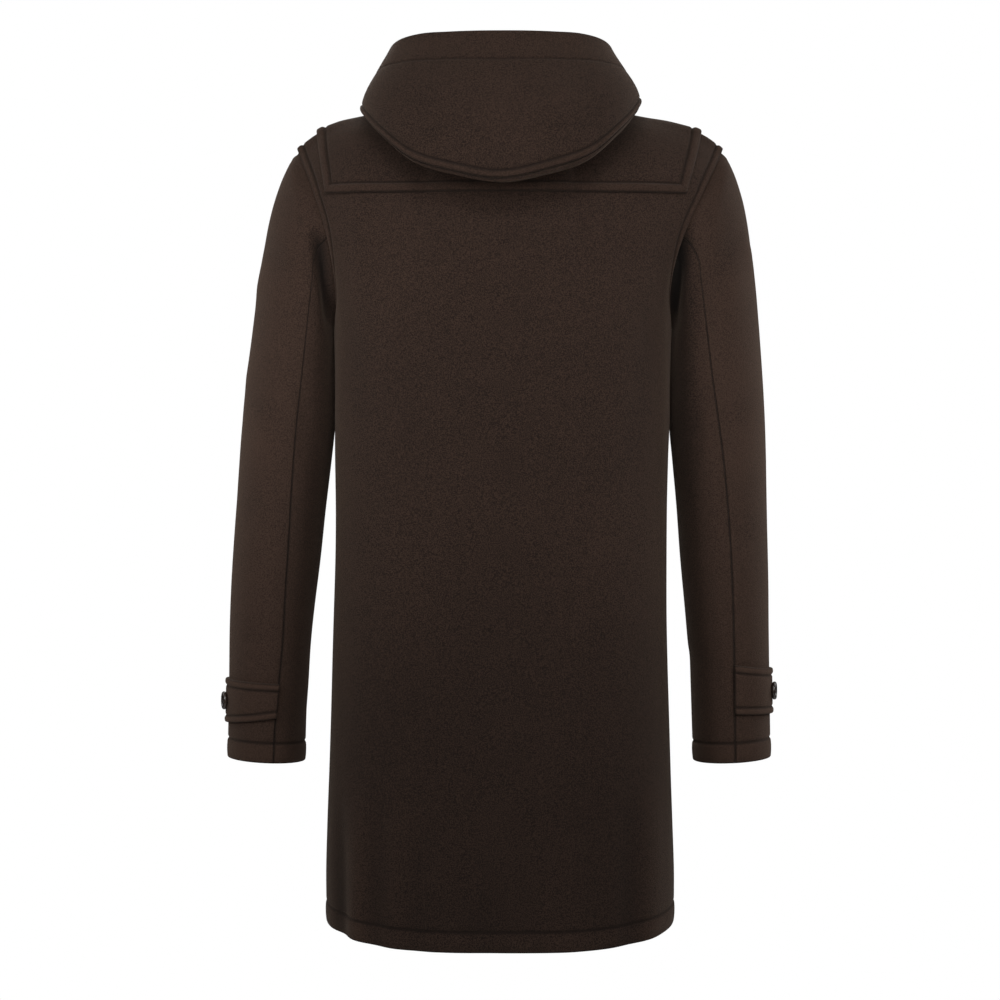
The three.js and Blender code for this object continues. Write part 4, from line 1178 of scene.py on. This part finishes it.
def make_hood(part):
    surface = hood_surface()
    end = stitched_edge(HOOD_END_OFFSET)
    lines = ((("left", "right"), HOOD_END_OFFSET, None),)
    if part == "crown":
        rows, seam = (HOOD_SEAM_ROW, LAST_HOOD_ROW), "below"
        steps = end, end, stitched_edge(CROWN_OFFSET), stitched_edge(RIM_OFFSET)
        lines = ((("below",), CROWN_OFFSET, None), (("above",), RIM_OFFSET, faint)) + lines
    else:
        rows, seam = (0, HOOD_SEAM_ROW), "above"
        steps = end, end, BARE_EDGE, PLAIN_EDGE
    grid = surface.cut(rows, (0, surface.net.shape[1] - 3))
    patch = Patch(grid, steps, tuple(SIDES), (seam,))
    return sew(f"cloth_hood_{part}", [patch], wool(), lines, folds=HOOD_FOLDS, roll=1.5, puff=1.3)


# Front closures

def smooth_path(path, step=1.2):
    """Points on a smooth curve through a path, at even steps."""
    path = np.array(path, float)
    lengths = np.linalg.norm(np.diff(path, axis=0), axis=1)
    keys = np.concatenate([[0], np.cumsum(lengths)])
    return along(keys, path, np.linspace(0, keys[-1], int(keys[-1] / step) + 2))


def tube(path, radius, sides=12):
    """Points, faces and marks (distance along, share of a turn) of a cord along a path."""
    path = smooth_path(path)
    ahead = unit(np.gradient(path, axis=0))
    across = np.array([0.0, 1.0, 0.0])
    angles = np.arange(sides) * 2 * math.pi / sides
    length = np.concatenate([[0], np.cumsum(np.linalg.norm(np.diff(path, axis=0), axis=1))])
    rings = []
    for point, way in zip(path, ahead):
        across = unit(across - way * (across @ way))
        other = np.cross(way, across)
        rings.append(point + radius * (
            np.cos(angles)[:, None] * across + np.sin(angles)[:, None] * other))
    rings = np.array(rings)
    turns = np.tile(angles / (2 * math.pi), len(path))
    marks = np.stack([np.repeat(length, sides), turns], axis=1)
    return rings.reshape(-1, 3), closed_rings(rings), marks


def join_tubes(name, tubes, material):
    points, faces, marks, first = [], [], [], 0
    for some_points, some_faces, some_marks in tubes:
        points.append(some_points)
        faces += [[k + first for k in face] for face in some_faces]
        marks.append(some_marks)
        first += len(some_points)
    marks = np.concatenate(marks)
    return new_object(name, np.concatenate(points), faces, material,
                      {"run": marks[:, 0], "turn": marks[:, 1]})


def front_tree(*names):
    """Search tree over the fronts, to find where something lies on them."""
    points, faces = [], []
    for name in names:
        mesh = bpy.data.objects[name].data
        first = len(points)
        points += [v.co / MM for v in mesh.vertices]
        faces += [[k + first for k in face.vertices] for face in mesh.polygons]
    return BVHTree.FromPolygons(points, faces)


def front_depth(tree, x, z):
    return tree.ray_cast(Vector((x, -400, z)), Vector((0, 1, 0)))[0].y


# Leather patch: distance from the end that holds the cords, and half height there
PATCH_AWAY = (0, 1.5, 4, 10, 16, 22, 28, 34, 36.8, 38)
PATCH_HALF = (9, 10.6, 12, 13.4, 14, 14.5, 14.2, 13, 11.3, 9)
PATCH_WALL, PATCH_STITCH = 2, 3.2
PATCH_EDGE = (0, 0.3, 0.7, 1.4, 2.2, 2.8, 3.2, 3.6, 4.2, 5.2)


def make_patch(tree, side, level, number):
    from_x = LEFT_PATCH_X if side > 0 else RIGHT_PATCH_X
    away = np.linspace(0, PATCH_AWAY[-1], 40)
    half = along(PATCH_AWAY, PATCH_HALF, away)
    order = slice(None, None, side)
    spots = [[(from_x + side * a, level + t * h) for a, h in zip(away[order], half[order])]
             for t in np.linspace(-1, 1, 28)]
    points = np.array([[(x, front_depth(tree, x, z), z) for x, z in row] for row in spots])
    run, rise = np.gradient(points, axis=1), np.gradient(points, axis=0)
    grid = np.concatenate([points, unit(np.cross(run, rise))], axis=2)
    patch = Patch(grid, (PATCH_EDGE,) * 4, tuple(SIDES), (), 2)
    strands = LOOP_HALF_WIDTH if side > 0 else CORD_HALF_WIDTH

    def cord_bulges(patch):
        """Two ridges over the ends of the cord that the patch holds."""
        off = np.abs(np.abs(patch.points[..., 2] - level) - strands)
        inward = np.abs(patch.points[..., 0] - from_x)
        return 2.6 * np.exp(-((off / 2.4) ** 2)) * (1 - ease(inward / 15))

    return sew(f"patch_{WORDS[side]}_{number}", [patch], leather(),
               ((patch.real, PATCH_STITCH, None),), PATCH_WALL + LAY_GAP + 0.15, PATCH_WALL,
               roll=0.8, puff=0.3, relief=cord_bulges)


# Half of a toggle: radius and distance along, from its end to its waist
TOGGLE_PROFILE = (
    (0.5, -26), (2, -25.9), (3.6, -25.5), (4.9, -24.4), (5.8, -22.6), (6.5, -19.8), (7, -16.5),
    (7.1, -13.5), (6.9, -11.2), (6.1, -9.6), (5.1, -8.6), (4.6, -7.8), (4.5, -4), (4.5, 0),
)


def make_toggle(tree, level, number):
    base = (TOGGLE_X, front_depth(tree, TOGGLE_X, level) - TOGGLE_LAY, level)
    profile = TOGGLE_PROFILE + tuple((r, -h) for r, h in TOGGLE_PROFILE[-2::-1])
    rings, _ = turned_grid(profile, 40, base, (1, 0, 0), (0, 0, 1))
    return new_object(f"toggle_horn_{number}", rings.reshape(-1, 3), closed_rings(rings), horn())


def make_loop(tree, level, number):
    """Cord of the left front, which closes under the toggle's waist."""
    def lay(x, z):
        return x, front_depth(tree, x, z) - CORD_LAY, z

    straight = (LEFT_PATCH_X + 4, LEFT_PATCH_X - 0.6, 18, 2, -14, -28)
    bend = [math.radians(angle) for angle in (30, 60, 90, 120, 150)]
    half = LOOP_HALF_WIDTH
    path = [lay(x, level + half) for x in straight]
    path += [lay(straight[-1] - half * math.sin(a), level + half * math.cos(a)) for a in bend]
    path += [lay(x, level - half) for x in straight[::-1]]
    return join_tubes(f"loop_cord_{number}", [tube(path, CORD_RADIUS)], cord())


def make_cord(left, both, level, number):
    """Two strands of the right front, over the loop and round the toggle's waist."""
    def surface(x):
        return min(front_depth(both, x + d, level) for d in (-3, 0, 3))

    axis_y = front_depth(left, TOGGLE_X, level) - TOGGLE_LAY

    def strand(side):
        flat = [(x, surface(x) - CORD_LAY, level + side * CORD_HALF_WIDTH)
                for x in (RIGHT_PATCH_X - 4, RIGHT_PATCH_X + 0.6, -68, -57)]
        return flat + [
            (-46, surface(-46) - CORD_LAY - 2.2, level + side * 2.4),
            (-36.5, surface(-36.5) - CORD_LAY - CORD_STEP, level + side * 2.8),
            (-30.5, axis_y + 6.4, level + side * 4.6),
            (-27.6, axis_y + 2, level + side * 6.6),
            (TOGGLE_X, axis_y - 2.6, level + side * 6.25),
            (TOGGLE_X, axis_y - 5.8, level + side * 3.4),
        ]

    path = strand(1) + [(TOGGLE_X, axis_y - 6.85, level)] + strand(-1)[::-1]
    return join_tubes(f"toggle_cord_{number}", [tube(path, CORD_RADIUS)], cord())


# Settings, operators and panel

class CoatSettings(bpy.types.PropertyGroup):
    wool_colour: bpy.props.FloatVectorProperty(
        name="Wool", description="Middle colour of the wool cloth", subtype="COLOR",
        default=(0.0228, 0.0128, 0.0088), min=0, max=1)
    horn_colour: bpy.props.FloatVectorProperty(
        name="Horn", description="Middle colour of the toggles and buttons", subtype="COLOR",
        default=(0.016, 0.009, 0.0055), min=0, max=1)
    cord_colour: bpy.props.FloatVectorProperty(
        name="Cord", description="Middle colour of the cords", subtype="COLOR",
        default=(0.022, 0.015, 0.011), min=0, max=1)
    leather_colour: bpy.props.FloatVectorProperty(
        name="Leather", description="Middle colour of the leather patches", subtype="COLOR",
        default=(0.03, 0.017, 0.01), min=0, max=1)
    stitch_depth: bpy.props.FloatProperty(
        name="Stitch depth", description="How far a stitch line is drawn in", unit="LENGTH",
        default=0.0011, min=0, max=0.002)
    fold_depth: bpy.props.FloatProperty(
        name="Fold depth", description="Share of the full height of the soft folds",
        subtype="FACTOR", default=1, min=0, max=1.5)
    floor_level: bpy.props.FloatProperty(
        name="Floor", description="Level of the floor below the neck", unit="LENGTH",
        default=-1.25, max=-0.95)
    light: bpy.props.FloatProperty(
        name="Light", description="Power of the main lamp in watts", unit="POWER",
        default=21, min=0)


FLOOR_RADIUS, WORLD_LIGHT = 1200, 0.04

# Lamps: place and aim in metres, the size of a soft light or the angle of a spot, and the share
# of the main lamp's power
LAMPS = (
    ("main", (0, 2.7, 0.45), (0, 0.1, -0.4), (2, 1.2), 1),
    ("upper", (0, 1.2, 0.8), (0, 0.1, -0.2), (1, 0.4), 0.36),
    ("near_left", (0.85, 0.85, -0.05), (0.2, 0, -0.25), (0.4, 0.5), 0.16),
    ("near_right", (-0.85, 0.85, -0.05), (-0.2, 0, -0.25), (0.4, 0.5), 0.1),
    ("rim_left", (1.9, -0.8, 0.5), (0.2, 0, -0.4), (0.8, 1.6), 0.4),
    ("rim_right", (-1.9, -0.8, 0.5), (-0.2, 0, -0.4), (0.8, 1.6), 0.8),
    ("front", (0.3, -2.4, 1.4), (0, 0, -0.4), (2, 1.4), 1.6),
    ("hood", (0, 2.2, 1), (0, 0.1, -0.05), 26, 0.3),
    ("under_hood", (0, 2.3, -1.1), (0, 0.12, -0.08), 18, 2.2),
    ("sleeve_left", (1.3, 1.2, 0.3), (0.3, 0, -0.38), 24, 1.8),
    ("sleeve_right", (-1.3, 1.2, 0.3), (-0.3, 0, -0.42), 24, 2),
    ("arm_left", (0.7, 1.9, 0.3), (0.3, 0, -0.28), 17, 1.5),
    ("arm_right", (-0.7, 1.9, 0.3), (-0.3, 0, -0.28), 17, 1),
)


class COAT_OT_stage(bpy.types.Operator):
    """Adds the camera, the floor and the lights"""

    bl_idname = "coat.stage"
    bl_label = "Stage"

    def execute(self, context):
        scene, settings = context.scene, context.scene.duffle_coat
        scene.view_settings.view_transform = "Standard"
        camera = bpy.data.objects.new("camera", bpy.data.cameras.new("camera"))
        camera.location = (0.001, 2.6, -0.434)
        camera.rotation_euler = (math.pi / 2, 0, math.pi)
        camera.data.lens, camera.data.sensor_width = 85.09, 36
        scene.collection.objects.link(camera)
        scene.camera = camera

        finish = Finish("floor", (0.8, 0.8, 0.8), 0.9)
        greys = (0.84, 0.84, 0.84, 1), (0.87, 0.87, 0.86, 1)
        finish.wire(Base_Color=finish.blend(finish.noise(6, 2), *greys))
        profile, top = ((FLOOR_RADIUS, -8), (FLOOR_RADIUS, 0)), (0, 0, settings.floor_level / MM)
        rings, _ = turned_grid(profile, 96, top, (0, 0, 1), (1, 0, 0))
        new_object("floor", rings.reshape(-1, 3), closed_rings(rings), finish.material)

        world = bpy.data.worlds.new("studio")
        studio = Nodes(world, "Background")
        seen = studio.node("ShaderNodeLightPath", {}, {}, "Is Camera Ray")
        limits = {"To Min": WORLD_LIGHT, "To Max": 1.0}
        strength = studio.node("ShaderNodeMapRange", {}, {"Value": seen, **limits}, "Result")
        studio.wire(Strength=strength, Color=(1, 1, 1, 1))
        scene.world = world

        for name, place, aim, size, share in LAMPS:
            kind = "AREA" if isinstance(size, tuple) else "SPOT"
            lamp = bpy.data.lights.new(name, kind)
            lamp.energy = settings.light * share
            if kind == "AREA":
                lamp.shape, lamp.size, lamp.size_y = "RECTANGLE", *size
            else:
                lamp.spot_size, lamp.spot_blend, lamp.shadow_soft_size = math.radians(size), 1, 0.15
            light = bpy.data.objects.new(name, lamp)
            light.location = place
            light.rotation_euler = (Vector(aim) - Vector(place)).to_track_quat("-Z", "Y").to_euler()
            scene.collection.objects.link(light)
        return {"FINISHED"}


class COAT_OT_body(bpy.types.Operator):
    """Sews the back and the two fronts"""

    bl_idname = "coat.body"
    bl_label = "Back and fronts"

    def execute(self, context):
        back = hang(make_back(), "wool", "back")
        for side, word in WORDS.items():
            front = hang(make_front(side), "wool", f"front_{word}")
        return {"FINISHED"}


class COAT_OT_yoke(bpy.types.Operator):
    """Sews the yoke over the shoulders"""

    bl_idname = "coat.yoke"
    bl_label = "Yoke"

    def execute(self, context):
        yoke = hang(make_yoke(), "wool", "yoke")
        return {"FINISHED"}


class COAT_OT_sleeves(bpy.types.Operator):
    """Sews the top and under sleeves"""

    bl_idname = "coat.sleeves"
    bl_label = "Sleeves"

    def execute(self, context):
        for side, word in WORDS.items():
            top = hang(make_sleeve(side, "top"), "wool", f"sleeve_top_{word}")
            under = hang(make_sleeve(side, "under"), "wool", f"sleeve_under_{word}")
        return {"FINISHED"}


class COAT_OT_cuffs(bpy.types.Operator):
    """Sews a tab with its button on each cuff"""

    bl_idname = "coat.cuffs"
    bl_label = "Cuff tabs and buttons"

    def execute(self, context):
        for side, word in WORDS.items():
            tab = hang(make_tab(side), "wool", f"cuff_tab_{word}")
            button, thread = make_button(side)
            hang(button, "horn", f"cuff_button_{word}")
            hang(thread, "cord")
        return {"FINISHED"}


class COAT_OT_hood(bpy.types.Operator):
    """Sews the crown and the under panel of the lying hood"""

    bl_idname = "coat.hood"
    bl_label = "Hood"

    def execute(self, context):
        crown = hang(make_hood("crown"), "wool", "hood_crown")
        under = hang(make_hood("under"), "wool", "hood_under")
        return {"FINISHED"}


class COAT_OT_closures(bpy.types.Operator):
    """Sews the toggles, cords and leather patches on the front"""

    bl_idname = "coat.closures"
    bl_label = "Toggle closures"

    def execute(self, context):
        left, right = front_tree("cloth_front_left"), front_tree("cloth_front_right")
        both = front_tree("cloth_front_left", "cloth_front_right")
        for number, level in enumerate(TOGGLE_LEVELS, 1):
            hang(make_toggle(left, level, number), "horn", f"toggle_{number}")
            hang(make_loop(left, level, number), "cord", f"loop_left_{number}")
            hang(make_cord(left, both, level, number), "cord", f"cord_right_{number}")
            hang(make_patch(left, 1, level, number), "leather", f"patch_left_{number}")
            hang(make_patch(right, -1, level, number), "leather", f"patch_right_{number}")
        return {"FINISHED"}


OPERATORS = (
    COAT_OT_stage, COAT_OT_body, COAT_OT_yoke, COAT_OT_sleeves, COAT_OT_cuffs, COAT_OT_hood,
    COAT_OT_closures,
)


class COAT_PT_panel(bpy.types.Panel):
    bl_label = "Duffle coat"
    bl_idname = "COAT_PT_panel"
    bl_space_type = "VIEW_3D"
    bl_region_type = "UI"
    bl_category = "Coat"

    def draw(self, context):
        for name in CoatSettings.__annotations__:
            self.layout.prop(context.scene.duffle_coat, name)
        for operator in OPERATORS:
            self.layout.operator(operator.bl_idname)


def register():
    for item in (CoatSettings, *OPERATORS, COAT_PT_panel):
        bpy.utils.register_class(item)
    bpy.types.Scene.duffle_coat = bpy.props.PointerProperty(type=CoatSettings)


def unregister():
    del bpy.types.Scene.duffle_coat
    for item in (COAT_PT_panel, *reversed(OPERATORS), CoatSettings):
        bpy.utils.unregister_class(item)


def main():
    register()
    for operator in OPERATORS:
        group, name = operator.bl_idname.split(".")
        getattr(getattr(bpy.ops, group), name)()


if __name__ == "__main__":
    main()
